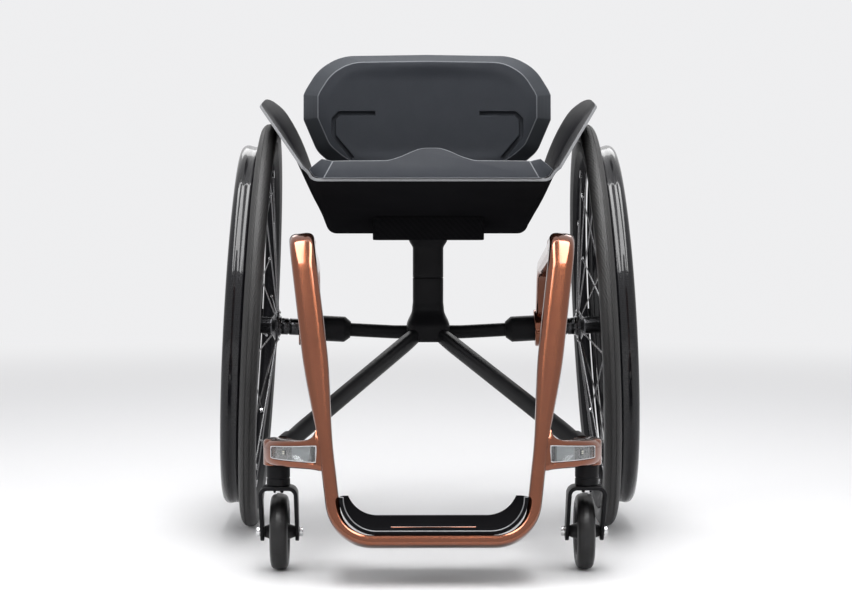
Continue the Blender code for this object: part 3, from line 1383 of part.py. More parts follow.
def build_wheelchair():
    clear_scene()
    build_front_frame()
    frame_cutter = new_object("frame_clearance", loft_mesh(front_frame_rings(FIT)))
    build_footplate(frame_cutter)
    build_beam()
    build_column_base()
    seat_axis = empty("seat_height_axis", Matrix.Identity(4))
    build_seat_post(seat_axis)
    build_mount_plate(seat_axis)
    build_seat_shell(seat_axis)
    build_cushion(seat_axis)
    build_backrest(seat_axis)
    for side, word in ((-1, "left"), (1, "right")):
        build_side_rail(side, word)
        build_strut(side, word)
        build_axle_fittings(side, word)
        build_quick_release(side, word)
        build_rear_wheel(side, word)
        build_caster_arm(side, word, frame_cutter)
        build_caster_bearing(side, word)
        build_caster(side, word)
        build_bracket(side, word, seat_axis)


build_wheelchair()
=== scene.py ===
import math

import bmesh
import bpy
from mathutils import Matrix, Vector


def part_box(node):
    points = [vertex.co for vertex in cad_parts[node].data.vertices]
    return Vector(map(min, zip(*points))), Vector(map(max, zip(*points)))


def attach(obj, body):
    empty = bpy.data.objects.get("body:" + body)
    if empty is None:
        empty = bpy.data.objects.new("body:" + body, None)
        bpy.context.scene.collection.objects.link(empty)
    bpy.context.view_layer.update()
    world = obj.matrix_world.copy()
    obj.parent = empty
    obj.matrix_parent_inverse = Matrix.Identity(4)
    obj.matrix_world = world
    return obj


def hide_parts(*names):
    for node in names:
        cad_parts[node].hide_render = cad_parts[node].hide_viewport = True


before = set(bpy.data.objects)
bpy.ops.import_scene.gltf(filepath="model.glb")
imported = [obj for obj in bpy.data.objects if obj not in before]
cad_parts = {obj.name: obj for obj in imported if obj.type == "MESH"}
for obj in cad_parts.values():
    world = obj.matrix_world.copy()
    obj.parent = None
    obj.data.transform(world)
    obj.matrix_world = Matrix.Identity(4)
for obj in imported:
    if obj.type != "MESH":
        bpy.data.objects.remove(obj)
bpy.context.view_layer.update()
sideWords = ((-1, "left"), (1, "right"))

# the rear wheels give the places that the rest is measured from
tyreLow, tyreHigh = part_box("rear_tyre_right")
axleY = (tyreLow.y + tyreHigh.y) / 2
wheelX = (tyreLow.x + tyreHigh.x) / 2
wheelRadius = (tyreHigh.y - tyreLow.y) / 2
camber = math.radians(3)
axleZ = wheelRadius * math.cos(camber)
fit = 0.0003  # gap between pieces that seat on each other

# camera, light and floor

view = {"lens": 107.58, "sensor": 36, "place": (-0.050, -3.8, 0.540), "down": 2.97, "right": 0.709}
studio = {"pale": (0.86, 0.86, 0.87, 1.0), "fill": 0.58, "floor": (0.80, 0.80, 0.81), "rough": 0.62,
          "half": 40, "fadeStart": 1.6, "fadeEnd": 4.2}
lamps = [  # name, place, aim, width, height, watts, the light that it leaves out
    ("long_soft_box", (0.0, -1.35, 2.6), (0.0, -1.35, 0.0), 0.7, 3.7, 72, "glossy"),
    ("mirrored_box", (0.0, -1.25, 2.6), (0.0, -1.25, 0.0), 2.3, 3.6, 312, "diffuse"),
    ("left_strip", (-2.4, -1.5, 1.3), (0.0, 0.0, 0.35), 0.5, 2.0, 24, "glossy"),
    ("right_strip", (2.4, -1.5, 1.3), (0.0, 0.0, 0.35), 0.5, 2.0, 14, "glossy"),
    ("rear_strip", (0.0, 2.6, 2.0), (0.0, 0.1, 0.4), 2.4, 0.8, 16, None),
]


def linked(name, data):
    made = bpy.data.objects.new(name, data)
    bpy.context.scene.collection.objects.link(made)
    return made


def meshObject(name, bm, tones=()):
    # an object with a bmesh's mesh; the bmesh goes
    mesh = bpy.data.meshes.new(name)
    bm.to_mesh(mesh)
    bm.free()
    for tone in tones:
        mesh.materials.append(tone)
    return linked(name, mesh)


def makeCamera():
    camera = bpy.data.cameras.new("photo_view")
    camera.lens = view["lens"]
    camera.sensor_width = view["sensor"]
    seen = linked("photo_view", camera)
    x, y, z = view["place"]
    seen.location = (x, axleY + y, z)
    seen.rotation_euler = (math.radians(90 - view["down"]), 0, math.radians(-view["right"]))
    bpy.context.scene.camera = seen


def makeLamps():
    for name, place, aim, width, height, watts, without in lamps:
        light = bpy.data.lights.new(name, "AREA")
        light.shape = "RECTANGLE"
        light.size, light.size_y = width, height
        light.energy = watts
        lamp = linked(name, light)
        lamp.location = place
        lamp.rotation_euler = (Vector(aim) - Vector(place)).to_track_quat("-Z", "Y").to_euler()
        lamp.visible_camera = False
        lamp.visible_diffuse = without != "diffuse"
        lamp.visible_glossy = without != "glossy"


class Signal:
    # a node's output that can be used in a sum
    def __init__(self, nodes, socket):
        self.nodes = nodes
        self.socket = socket

    def __add__(self, other):
        return self.nodes.maths("ADD", self, other)

    def __radd__(self, other):
        return self.nodes.maths("ADD", other, self)

    def __sub__(self, other):
        return self.nodes.maths("SUBTRACT", self, other)

    def __rsub__(self, other):
        return self.nodes.maths("SUBTRACT", other, self)

    def __mul__(self, other):
        return self.nodes.maths("MULTIPLY", self, other)

    def __rmul__(self, other):
        return self.nodes.maths("MULTIPLY", other, self)

    def __truediv__(self, other):
        return self.nodes.maths("DIVIDE", self, other)

    def __gt__(self, other):
        return self.nodes.maths("GREATER_THAN", self, other)


class Nodes:
    # the nodes of a material or of the world
    def __init__(self, owner):
        owner.use_nodes = True
        self.owner = owner
        self.tree = owner.node_tree

    def found(self, kind):
        return next(n for n in self.tree.nodes if n.type == kind)

    def node(self, kind, settings=None, sockets=None, out=0):
        node = self.tree.nodes.new("ShaderNode" + kind)
        for name, value in (settings or {}).items():
            if name == "stops":
                for element, (place, level) in zip(node.color_ramp.elements, value):
                    element.position = place
                    element.color = (level, level, level, 1)
            else:
                setattr(node, name, value)
        for name, value in (sockets or {}).items():
            if isinstance(value, Signal):
                self.tree.links.new(value.socket, node.inputs[name])
            else:
                node.inputs[name].default_value = value
        return Signal(self, node.outputs[out])

    def maths(self, operation, *values):
        return self.node("Math", {"operation": operation}, dict(enumerate(values)))

    def mixed(self, share, first, second):
        # two shaders, to the surface of the output
        blend = self.node("MixShader", None, {0: share, 1: first, 2: second})
        output = next(n for n in self.tree.nodes if n.type.startswith("OUTPUT"))
        self.tree.links.new(blend.socket, output.inputs["Surface"])


class Finish(Nodes):
    # one material; what varies over its surface is added with node and feed
    def __init__(self, name, specular=0.5, constants=None):
        super().__init__(bpy.data.materials.new(name))
        self.shader = self.found("BSDF_PRINCIPLED")
        for socket, value in {"Specular IOR Level": specular, **(constants or {})}.items():
            self.shader.inputs[socket].default_value = value

    def feed(self, socket, signal):
        self.tree.links.new(signal.socket, self.shader.inputs[socket])

    def place(self):
        return self.node("TexCoord", out="Object")

    def noise(self, scale, detail=3.0, where=None):
        sockets = {"Vector": where or self.place(), "Scale": scale, "Detail": detail}
        return self.node("TexNoise", None, sockets)

    def cells(self, scale, settings=None, out=0):
        return self.node("TexVoronoi", settings, {"Vector": self.place(), "Scale": scale}, out)

    def tint(self, first, second, share):
        mix = {0: share, 6: (*first, 1), 7: (*second, 1)}
        self.feed("Base Color", self.node("Mix", {"data_type": "RGBA"}, mix, out=2))

    def bump(self, height, depth, strength=1.0):
        sockets = {"Strength": strength, "Distance": depth, "Height": height}
        self.feed("Normal", self.node("Bump", None, sockets))

    def split(self, vector):
        node = self.node("SeparateXYZ", None, {0: vector}).socket.node
        return [Signal(self, output) for output in node.outputs]

    def placeOn(self, centre, tilt):
        # x, y and z about a centre, on turned axes
        sockets = {"Vector": self.place(), "Location": centre, "Rotation": tilt}
        return self.split(self.node("Mapping", {"vector_type": "TEXTURE"}, sockets))

    def roundWheel(self, side):
        # x along the axle, the angle round it and the distance from it
        x, y, z = self.placeOn((side * wheelX, axleY, axleZ), (0, -side * camber, 0))
        return x, self.maths("ARCTAN2", z, y), self.maths("SQRT", y * y + z * z)


def wave(signal, turns):
    # sine of a signal that runs through so many turns
    return signal.nodes.maths("SINE", signal * (math.tau * turns))


def magnitude(signal):
    return signal.nodes.maths("ABSOLUTE", signal)


def grainyFinish(name, low, high, cloud, grain, rough, bump, specular, constants=None):
    # cloud and grain are (scale, detail): the cloud mixes the tones, the grain stands up,
    # and rough is what the roughness starts at and what each of the two adds to it
    finish = Finish(name, specular, constants)
    patches, specks = finish.noise(*cloud), finish.noise(*grain)
    finish.tint(low, high, patches)
    finish.feed("Roughness", rough[0] + patches * rough[1] + specks * rough[2])
    finish.bump(specks, *bump)
    return finish.owner


def copperPaint():
    paint = Finish("copper_paint", 0.4, {"Metallic": 0.95, "Coat Weight": 0.6, "Coat Roughness": 0.03})
    level = paint.node("SeparateColor", None, {0: paint.cells(2600, out="Color")})
    cloud = paint.noise(22, 2)
    paint.tint((0.165, 0.051, 0.024), (0.235, 0.078, 0.038), level * 0.6 + cloud * 0.4)
    paint.feed("Roughness", 0.09 + level * 0.06 + cloud * 0.04)
    paint.bump(level + paint.noise(900, 1) * 0.5, 0.00002, 0.35)
    return paint.owner


def wovenHeight(finish, tow=0.0022):
    # two by two twill of fibre tows, seen where the clear resin lets it through
    x, y, z = finish.split(finish.place())
    across, along = x / tow, (y + z) / tow
    step = finish.maths("FLOOR", across) + finish.maths("FLOOR", along)
    over = finish.maths("FLOORED_MODULO", step, 4.0) > 1.5
    return over, magnitude(wave(across, 0.5)) * over + magnitude(wave(along, 0.5)) * (1 - over)


def mattCarbon():
    matt = Finish("matt_carbon_laminate", 0.045)
    over, crown = wovenHeight(matt)
    cloud = matt.noise(14, 4)
    matt.tint((0.006, 0.006, 0.007), (0.012, 0.012, 0.014), over * 0.5 + cloud * 0.5)
    matt.feed("Roughness", 0.40 + over * 0.06 + cloud * 0.10)
    matt.bump(crown + matt.noise(700, 2) * 0.6, 0.00004, 0.35)
    return matt.owner


def dullCarbon():
    under = Finish("dull_carbon_underside", 0.0, {"Roughness": 0.70})
    over, crown = wovenHeight(under)
    under.tint((0.006, 0.006, 0.007), (0.011, 0.011, 0.012), over * 0.4 + under.noise(20) * 0.6)
    under.bump(crown, 0.00004, 0.3)
    return under.owner


def glossCarbon(side, word):
    gloss = Finish("gloss_carbon_" + word, 0.1, {"Coat Weight": 0.50, "Coat Roughness": 0.03})
    x, turn, radius = gloss.roundWheel(side)
    tow = wave(turn * 110 + radius * 320, 0.5) * wave(turn * 110 - radius * 320, 0.5) > 0.0
    gloss.tint((0.005, 0.005, 0.006), (0.009, 0.009, 0.011), tow * 0.5 + gloss.noise(40) * 0.5)
    gloss.feed("Roughness", 0.20 + tow * 0.10)
    gloss.bump(gloss.noise(60, 2), 0.00006, 0.25)
    return gloss.owner


def foamSkin():
    skin = Finish("moulded_foam_skin", 0.07)
    fine = skin.noise(500, 3)
    skin.tint((0.025, 0.0275, 0.033), (0.036, 0.0395, 0.047), skin.noise(35, 4) * 0.6 + fine * 0.4)
    skin.feed("Roughness", 0.40 + fine * 0.14)
    skin.bump(skin.cells(1500) + fine * 0.7, 0.00016, 0.5)
    return skin.owner


def ribbedRimPaintedLight():
    # a finely ribbed skin round the back pad, paler than the panel as painted light on the rim's facets; the
    # ribs follow its rim
    rim = Finish("ribbed_foam_rim", 0.08)
    x, y, z = rim.placeOn((0, axleY + back["hinge"][0], back["hinge"][1]), (-back["recline"], 0, 0))
    ribs = wave(y, 480) * 0.5 + 0.5
    fine = rim.noise(500, 3)
    rim.tint((0.048, 0.052, 0.059), (0.068, 0.073, 0.082), ribs * 0.7 + fine * 0.3)
    rim.feed("Roughness", 0.42 + fine * 0.14)
    rim.bump(ribs + fine * 0.5, 0.00014, 0.6)
    return rim.owner


def tyreRubber(side, word):
    # chevrons on the tread and short ribs on the shoulders beside it
    rubber = Finish("tyre_rubber_" + word, 0.42)
    x, turn, radius = rubber.roundWheel(side)
    turn = turn / math.tau
    chevrons = wave(turn * 190 + magnitude(x) * 260, 1)
    cuts = rubber.node("ValToRGB", {"stops": [(0.35, 0.0), (0.62, 1.0)]}, {0: chevrons * 0.5 + 0.5})
    tread = radius > wheelRadius - wheel["treadDrop"]
    shoulder = (radius > wheelRadius - wheel["shoulderDrop"]) * (1 - tread)
    ribs = wave(turn * 420, 1) * 0.5 + 0.5
    dust = rubber.noise(60, 5)
    rubber.tint((0.008, 0.008, 0.009), (0.018, 0.0175, 0.017), dust * 0.7 + tread * 0.3)
    rubber.feed("Roughness", 0.40 + dust * 0.12 + tread * 0.08)
    rubber.bump(cuts * tread + ribs * shoulder * 0.35 + rubber.noise(1200, 2) * 0.08, 0.0003, 0.6)
    return rubber.owner


def brushedSteel(name, colour, roughness):
    # the brush marks run along x
    metal = Finish(name, 0.5, {"Metallic": 1.0})
    x, y, z = metal.split(metal.place())
    brushed = metal.noise(2200, 2, metal.node("CombineXYZ", None, {0: x * 0.12, 1: y, 2: z}))
    metal.tint([0.86 * c for c in colour], [1.10 * c for c in colour], metal.noise(60, 3))
    metal.feed("Roughness", brushed * 0.14 + (roughness - 0.07))
    metal.bump(brushed, 0.00002, 0.35)
    return metal.owner


def lightBoard():
    # pale tracks between the darker fields of the board
    board = Finish("light_board")
    field = board.cells(300, {"feature": "DISTANCE_TO_EDGE"}) > 0.12
    board.tint((0.26, 0.26, 0.255), (0.11, 0.115, 0.12), field)
    board.feed("Roughness", 0.30 + field * 0.2)
    board.bump(field, 0.00005, 0.4)
    return board.owner


def ledFace():
    face = Finish("led_face", constants={"Roughness": 0.30})
    specks = face.cells(1600)
    face.tint((0.92, 0.91, 0.84), (0.74, 0.70, 0.56), specks)
    face.bump(specks, 0.00004, 0.4)
    return face.owner


def lightGuide():
    bar = Finish("light_guide", constants={"Roughness": 0.30, "Transmission Weight": 0.25, "IOR": 1.46})
    x, y, z = bar.split(bar.place())
    ribs = wave(x, 900)
    bar.tint((0.24, 0.26, 0.27), (0.40, 0.42, 0.43), ribs * 0.5 + 0.5)
    bar.bump(ribs, 0.0002, 0.5)
    return bar.owner


def makeFloor():
    # past a few metres the floor fades into the pale tone behind it
    floor = Finish("pale_floor", constants={"Roughness": studio["rough"]})
    x, y, z = floor.split(floor.place())
    sockets = {"Value": floor.maths("SQRT", x * x + y * y), "From Min": studio["fadeStart"],
               "From Max": studio["fadeEnd"]}
    fade = floor.node("MapRange", {"interpolation_type": "SMOOTHSTEP"}, sockets)
    floor.tint([0.985 * c for c in studio["floor"]], studio["floor"], floor.noise(180, 3))
    glow = floor.node("Emission", None, {"Color": studio["pale"], "Strength": 1.0})
    floor.mixed(fade, Signal(floor, floor.shader.outputs[0]), glow)
    bm = bmesh.new()
    bmesh.ops.create_grid(bm, x_segments=1, y_segments=1, size=studio["half"])
    meshObject("studio_floor", bm, [floor.owner])


def makeWorld():
    # the pale tone for what is seen or mirrored, a weaker one for light
    world = bpy.data.worlds.new("studio")
    bpy.context.scene.world = world
    sky = Nodes(world)
    direct, mirrored, through = (sky.node("LightPath", out=ray) for ray in (
        "Is Camera Ray", "Is Glossy Ray", "Is Transmission Ray"))
    light = sky.found("BACKGROUND")
    light.inputs["Color"].default_value = studio["pale"]
    light.inputs["Strength"].default_value = studio["fill"]
    shown = sky.node("Background", None, {"Color": studio["pale"], "Strength": 1.0})
    seen = sky.maths("MAXIMUM", sky.maths("MAXIMUM", direct, mirrored), through)
    sky.mixed(seen, Signal(sky, light.outputs[0]), shown)


bpy.context.scene.view_settings.view_transform = "Standard"
makeCamera()
makeLamps()
makeFloor()
makeWorld()
print("studio is ready")

copper = copperPaint()
carbon = mattCarbon()
dull = dullCarbon()
foam = foamSkin()
steel = brushedSteel("bright_steel", (0.62, 0.62, 0.63), 0.22)
spokeSteel = brushedSteel("spoke_steel", (0.16, 0.16, 0.165), 0.26)
darkSteel = brushedSteel("dark_steel", (0.055, 0.055, 0.058), 0.15)
boardTone = lightBoard()
ledTone = ledFace()
guideTone = lightGuide()
black = grainyFinish("black_anodised", (0.006, 0.006, 0.007), (0.012, 0.012, 0.013), (30, 3), (1400, 2),
                     (0.28, 0.08, 0.10), (0.00003, 0.4), 0.08)
# painted highlight: a pale grey for the shell's rim and the tray's front edge, standing in for the light that
# these edges catch
edgeHighlightTone = grainyFinish("trimmed_edge", (0.14, 0.144, 0.152), (0.21, 0.215, 0.225), (260, 4), (900, 2),
                        (0.32, 0.14, 0.0), (0.00003, 0.4), 0.5)
# painted highlight: a pale tone on the narrow roundings along the foam's creases
creaseHighlightTone = grainyFinish("foam_skin_edge", (0.125, 0.132, 0.145), (0.175, 0.182, 0.198), (420, 3), (420, 3),
                        (0.38, 0.0, 0.14), (0.00008, 0.5), 0.15)
plastic = grainyFinish("black_plastic", (0.009, 0.009, 0.010), (0.017, 0.017, 0.018), (35, 3), (650, 4),
                       (0.34, 0.0, 0.16), (0.00005, 0.5), 0.3)
smallTyre = grainyFinish("caster_rubber", (0.008, 0.008, 0.009), (0.020, 0.0195, 0.019), (90, 5), (1300, 3),
                         (0.28, 0.16, 0.0), (0.00006, 0.5), 0.30)
clearPlastic = {"Transmission Weight": 1.0, "IOR": 1.46, "Coat Weight": 0.4, "Coat Roughness": 0.03}
lensClear = grainyFinish("clear_lens", (0.90, 0.92, 0.93), (0.97, 0.98, 0.98), (120, 2), (120, 2),
                         (0.02, 0.05, 0.0), (0.00004, 0.3), 0.5, clearPlastic)
print("finishes are ready")


# shapes

def arc(centre, radius, start, end, steps):
    spots = []
    for i in range(steps + 1):
        angle = math.radians(start + (end - start) * i / steps)
        spots.append((centre[0] + radius * math.cos(angle), centre[1] + radius * math.sin(angle)))
    return spots


def between(first, second, share):
    # one value or several, part of the way from the first to the second
    if isinstance(first, tuple):
        return tuple(between(a, b, share) for a, b in zip(first, second))
    return first + (second - first) * share


def acrossX(spot):
    return Vector((-spot[0], *spot[1:]))


def swung(start, end, share):
    # from one arm of an arc towards the other, at the arc's own length
    return start.normalized().slerp(end.normalized(), share) * start.length


def roundedLine(corners, closed=True, steps=4):
    # corners are (a, b, radius); an arc takes the place of each that has a radius
    points = []
    count = len(corners)
    for i, (a, b, radius) in enumerate(corners):
        here = Vector((a, b))
        if radius <= 0 or (not closed and i in (0, count - 1)):
            points.append(here)
            continue
        before = Vector(corners[i - 1][:2]) - here
        after = Vector(corners[(i + 1) % count][:2]) - here
        half = before.angle(after) / 2
        reach = min(radius / math.tan(half), 0.48 * before.length, 0.48 * after.length)
        before.normalize()
        after.normalize()
        centre = here + (before + after).normalized() * reach / math.cos(half)
        start = here + before * reach - centre
        end = here + after * reach - centre
        points += [centre + swung(start, end, k / steps) for k in range(steps + 1)]
    return points


def bothSides(half):
    # a half profile of (x, r, radius) with its mirror image
    return half + [(-x, r, radius) for x, r, radius in reversed(half)]


def boltLine(reach, thick, sunk, socket, head, soft, shank):
    # a bolt with a head past each end of its shank and a round tool socket sunk in each head
    end = reach + thick
    half = [(end - sunk, 0, 0), (end - sunk, socket, 0.0002), (end, socket, 0.0003), (end, head, soft),
            (reach, head, 0.0003), (reach, shank, 0)]
    return roundedLine([(-x, r, radius) for x, r, radius in half] + half[::-1], closed=False)


def spunShape(profile, steps, place=None):
    # a profile of (distance along X, radius) spun about X
    bm = bmesh.new()
    verts = [bm.verts.new((x, 0, r)) for x, r in profile]
    edges = [bm.edges.new(pair) for pair in zip(verts, verts[1:])]
    if profile[0][1] > 0:
        edges.append(bm.edges.new((verts[-1], verts[0])))
    bmesh.ops.spin(bm, geom=verts + edges, cent=(0, 0, 0), axis=(1, 0, 0), angle=math.tau, steps=steps,
                   use_merge=True)
    bmesh.ops.remove_doubles(bm, verts=bm.verts, dist=1e-6)
    if place is not None:
        bm.transform(place)
    return bm


def loftedShape(rings, capped=True, closed=True):
    # the first ring's edges are extruded from ring to ring
    bm = bmesh.new()
    verts = [bm.verts.new(point) for point in rings[0]]
    following = verts[1:] + verts[:1] if closed else verts[1:]
    edges = [bm.edges.new(pair) for pair in zip(verts, following)]
    ends = list(edges)
    for ring in rings[1:]:
        made = bmesh.ops.extrude_edge_only(bm, edges=edges)["geom"]
        fresh = {v for v in made if isinstance(v, bmesh.types.BMVert)}
        edges = [e for e in made if isinstance(e, bmesh.types.BMEdge) and fresh.issuperset(e.verts)]
        verts = [next(e.other_vert(v) for e in v.link_edges if e.other_vert(v) in fresh) for v in verts]
        for vert, point in zip(verts, ring):
            vert.co = point
    if capped:
        bmesh.ops.edgeloop_fill(bm, edges=ends)
        bmesh.ops.edgeloop_fill(bm, edges=edges)
    return bm


def prismShape(outline, start, end, axis):
    # a flat outline pushed along one axis; its pairs are the other two axes in order
    def spot(a, b, depth):
        return {"X": (depth, a, b), "Y": (a, depth, b), "Z": (a, b, depth)}[axis]

    return loftedShape([[spot(a, b, depth) for a, b in outline] for depth in (start, end)])


def bevelled(bm, edges, offset, segments, clamped):
    made = bmesh.ops.bevel(bm, geom=edges, offset=offset, segments=segments, profile=0.5, affect="EDGES",
                           material=-1, clamp_overlap=clamped)
    return made["faces"]


def boxShape(dimensions, centre, soft, turn=None):
    bm = bmesh.new()
    bmesh.ops.create_cube(bm, size=1)
    bmesh.ops.scale(bm, vec=dimensions, verts=bm.verts)
    if soft:
        bevelled(bm, list(bm.edges), soft, 3, False)
    bmesh.ops.translate(bm, vec=centre, verts=bm.verts)
    if turn is not None:
        bm.transform(turn)
    return bm


def section(width, depth, count, square):
    # points round a soft box; a square of 2 makes an ellipse
    def along(share, length):
        return math.copysign(abs(share) ** (2 / square), share) * length / 2

    angles = [math.tau * (i + 0.5) / count for i in range(count)]
    return [(along(math.cos(angle), width), along(math.sin(angle), depth)) for angle in angles]


def bentPath(corners, radii, steps, longest):
    # straight legs with an arc at each inner corner, then divided
    points = [Vector(corners[0])]
    for i, radius in enumerate(radii, start=1):
        corner = Vector(corners[i])
        before = (Vector(corners[i - 1]) - corner).normalized()
        after = (Vector(corners[i + 1]) - corner).normalized()
        half = before.angle(after) / 2
        centre = corner + (before + after).normalized() * radius / math.sin(half)
        first = corner + before * radius / math.tan(half) - centre
        last = corner + after * radius / math.tan(half) - centre
        points += [centre + swung(first, last, k / steps) for k in range(steps + 1)]
    points.append(Vector(corners[-1]))
    result = [points[0]]
    for start, end in zip(points, points[1:]):
        pieces = max(1, math.ceil((end - start).length / longest))
        result += [start.lerp(end, i / pieces) for i in range(1, pieces + 1)]
    return result


def curveSpot(start, first, second, end, t):
    # a point on the curve from start to end that two more points pull out
    u = 1 - t
    return start * u ** 3 + first * 3 * u * u * t + second * 3 * u * t * t + end * t ** 3


def alongEach(points):
    # the direction of a line of points at each of them
    last = len(points) - 1
    return [(points[min(i + 1, last)] - points[max(i - 1, 0)]).normalized() for i in range(last + 1)]


def sweptRings(points, sizes, normal, middle, count, square):
    # sections carried along a path without twist, both ways from its middle point
    last = len(points) - 1
    tangents = alongEach(points)
    up = Vector(normal)
    normals = {middle: (up - tangents[middle] * up.dot(tangents[middle])).normalized()}
    for direction in (1, -1):
        i = middle
        while 0 <= i + direction <= last:
            normals[i + direction] = tangents[i].rotation_difference(tangents[i + direction]) @ normals[i]
            i += direction
    rings = []
    for i, point in enumerate(points):
        across = tangents[i].cross(normals[i])
        rings.append([point + across * a + normals[i] * b for a, b in section(*sizes[i], count, square)])
    return rings


def looseObject(bm):
    # the empty slots keep the faces' slot numbers through the modifiers
    bmesh.ops.recalc_face_normals(bm, faces=bm.faces)
    return meshObject("work", bm, (None, None, None))


def evaluated(obj):
    # the object's mesh with its modifiers worked in; the object goes
    bpy.context.view_layer.update()
    shape = bpy.data.meshes.new_from_object(obj.evaluated_get(bpy.context.evaluated_depsgraph_get()))
    bm = bmesh.new()
    bm.from_mesh(shape)
    bpy.data.meshes.remove(shape)
    bpy.data.objects.remove(obj)
    return bm


def cutAndJoined(bm, steps):
    # steps are (operation, closed mesh)
    base = looseObject(bm)
    tools = []
    for operation, tool in steps:
        modifier = base.modifiers.new(operation.lower(), "BOOLEAN")
        modifier.operation = operation
        modifier.object = looseObject(tool)
        modifier.solver = "EXACT"
        tools.append(modifier.object)
    result = evaluated(base)
    for tool in tools:
        bpy.data.objects.remove(tool)
    bmesh.ops.remove_doubles(result, verts=result.verts, dist=2e-6)
    return result


def softened(bm, offset, over=40, segments=2, tone=0, clamped=True, before=math.inf):
    # a small rounding along the edges that turn by more than the given angle, ahead of a given Y
    edges = [e for e in bm.edges if len(e.link_faces) == 2 and e.calc_face_angle(0) > math.radians(over)
             and max(v.co.y for v in e.verts) < before]
    faces = bevelled(bm, edges, offset, segments, clamped)
    if tone:
        for face in faces:
            face.material_index = tone
    return bm


def gathered(shapes):
    # several closed shapes in one mesh
    bm = bmesh.new()
    for shape in shapes:
        bmesh.ops.recalc_face_normals(shape, faces=shape.faces)
        mesh = bpy.data.meshes.new("work")
        shape.to_mesh(mesh)
        shape.free()
        bm.from_mesh(mesh)
        bpy.data.meshes.remove(mesh)
    return bm


def newPiece(name, bm, body, finish, replaced=None, sharp=38, turned=True):
    # sharp is the angle, in degrees, past which an edge is shaded sharp
    if turned:
        bmesh.ops.recalc_face_normals(bm, faces=bm.faces)
    piece = meshObject(name, bm, finish if isinstance(finish, list) else [finish])
    piece.data.shade_smooth()
    piece.data.set_sharp_from_angle(angle=math.radians(sharp))
    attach(piece, body)
    if replaced:
        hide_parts(replaced)
    return piece


def eased(share):
    share = min(1.0, max(0.0, share))
    return share * share * (3 - 2 * share)


def onSide(side, x, y, z):
    # a place on one side of the chair, with Y measured from the axle
    return Vector((side * x, axleY + y, z))


def axlePlace(side):
    # local X runs outward along the cambered axle from the wheel's middle plane
    place = Matrix.Translation((side * wheelX, axleY, axleZ))
    if side > 0:
        return place @ Matrix.Rotation(-camber, 4, "Y")
    return place @ Matrix.Rotation(camber, 4, "Y") @ Matrix.Rotation(math.pi, 4, "Z")


def axleLineZ(x):
    return axleZ - (wheelX - x) * math.tan(camber)


# rear wheels

wheel = {
    "steps": 144, "tyreHalf": 0.0125, "tyreMiddle": 0.0155, "tyreSquare": 2.2, "bead": (0.0078, 0.0335),
    "grooveX": 0.0036, "grooveHalf": 0.0006, "grooveDepth": 0.0009,
    "crown": (0.345, 0.46, 0.58, 0.69, 0.78, 0.86, 0.92, 0.965, 0.99, 1.0), "side": (-8, -16, -24, -32, -40),
    "treadDrop": 0.0075, "shoulderDrop": 0.0150, "rimHalf": 0.0105, "rimFlange": 0.0267, "rimSide": 0.040,
    "rimInner": 0.050, "rimNose": 0.0045, "well": 0.0081,
}
pushrim = {"x": 0.031, "drop": 0.0425, "tube": 0.0095, "lipX": 0.0178, "lipDrop": 0.040, "lipTube": 0.0055,
           "tabs": 6, "tabLength": 0.018, "tabDepth": 0.006}
hub = {"half": 0.030, "radius": 0.0145, "flangeX": 0.0245, "flangeHalf": 0.002, "flangeRadius": 0.0245,
       "bore": 0.0123}
spoke = {"count": 24, "sides": 8, "radius": 0.001, "inset": 0.0035, "rimX": 0.0015, "nippleRadius": 0.0021,
         "nippleLength": 0.012, "nippleTip": 0.86, "headRadius": 0.0019, "headLift": 0.0004,
         "headLength": 0.0009}
release = {"inner": -0.075, "chamfer": 0.0018, "radius": 0.00635, "head": 0.006, "headRadius": 0.010,
           "button": 0.0047, "buttonLength": 0.0172, "stand": 0.0045, "dome": 0.0004, "travel": 0.004}


def tyreRadiusAt(x):
    square = wheel["tyreSquare"]
    rise = (1 - (abs(x) / wheel["tyreHalf"]) ** square) ** (1 / square)
    return wheelRadius - wheel["tyreMiddle"] + wheel["tyreMiddle"] * rise


def tyreProfile():
    half, square = wheel["tyreHalf"], wheel["tyreSquare"]
    groove, edge, deep = wheel["grooveX"], wheel["grooveHalf"], wheel["grooveDepth"]
    line = [(x, tyreRadiusAt(x)) for x in (0.0, 0.0016, groove - edge - 0.0001)]
    line += [(x, tyreRadiusAt(x) - deep) for x in (groove - edge, groove + edge)]
    line += [(half * k, tyreRadiusAt(half * k)) for k in wheel["crown"]]
    for angle in wheel["side"]:
        c, s = math.cos(math.radians(angle)), -math.sin(math.radians(angle))
        line.append((half * c ** (2 / square), wheelRadius - wheel["tyreMiddle"] * (1 + s ** (2 / square))))
    beadHalf, beadDrop = wheel["bead"]
    line += [(beadHalf, line[-1][1]), (beadHalf, wheelRadius - beadDrop)]
    return list(reversed(line)) + [(-x, r) for x, r in line[1:]]


def rimProfile():
    half = [
        (wheel["rimNose"], wheelRadius - wheel["rimInner"], 0.003),
        (wheel["rimHalf"], wheelRadius - wheel["rimSide"], 0.006),
        (wheel["rimHalf"], wheelRadius - wheel["rimFlange"], 0.0007),
        (wheel["well"], wheelRadius - wheel["rimFlange"], 0.0006),
        (wheel["well"], wheelRadius - wheel["bead"][1] - fit, 0.0008),
    ]
    return roundedLine(bothSides(half))


def pushrimProfile():
    tube = arc((pushrim["x"], wheelRadius - pushrim["drop"]), pushrim["tube"], -128, 118, 20)
    return tube + arc((pushrim["lipX"], wheelRadius - pushrim["lipDrop"]), pushrim["lipTube"], 62, 292, 12)


def pushrimTab(number):
    depth = pushrim["lipX"] - wheel["rimHalf"] - fit
    middle = (wheel["rimHalf"] + fit + depth / 2, 0, wheelRadius - pushrim["lipDrop"] + 0.002)
    turn = Matrix.Rotation(math.tau * (number + 0.5) / pushrim["tabs"], 4, "X")
    return boxShape((depth, pushrim["tabLength"], pushrim["tabDepth"]), middle, 0.0012, turn)


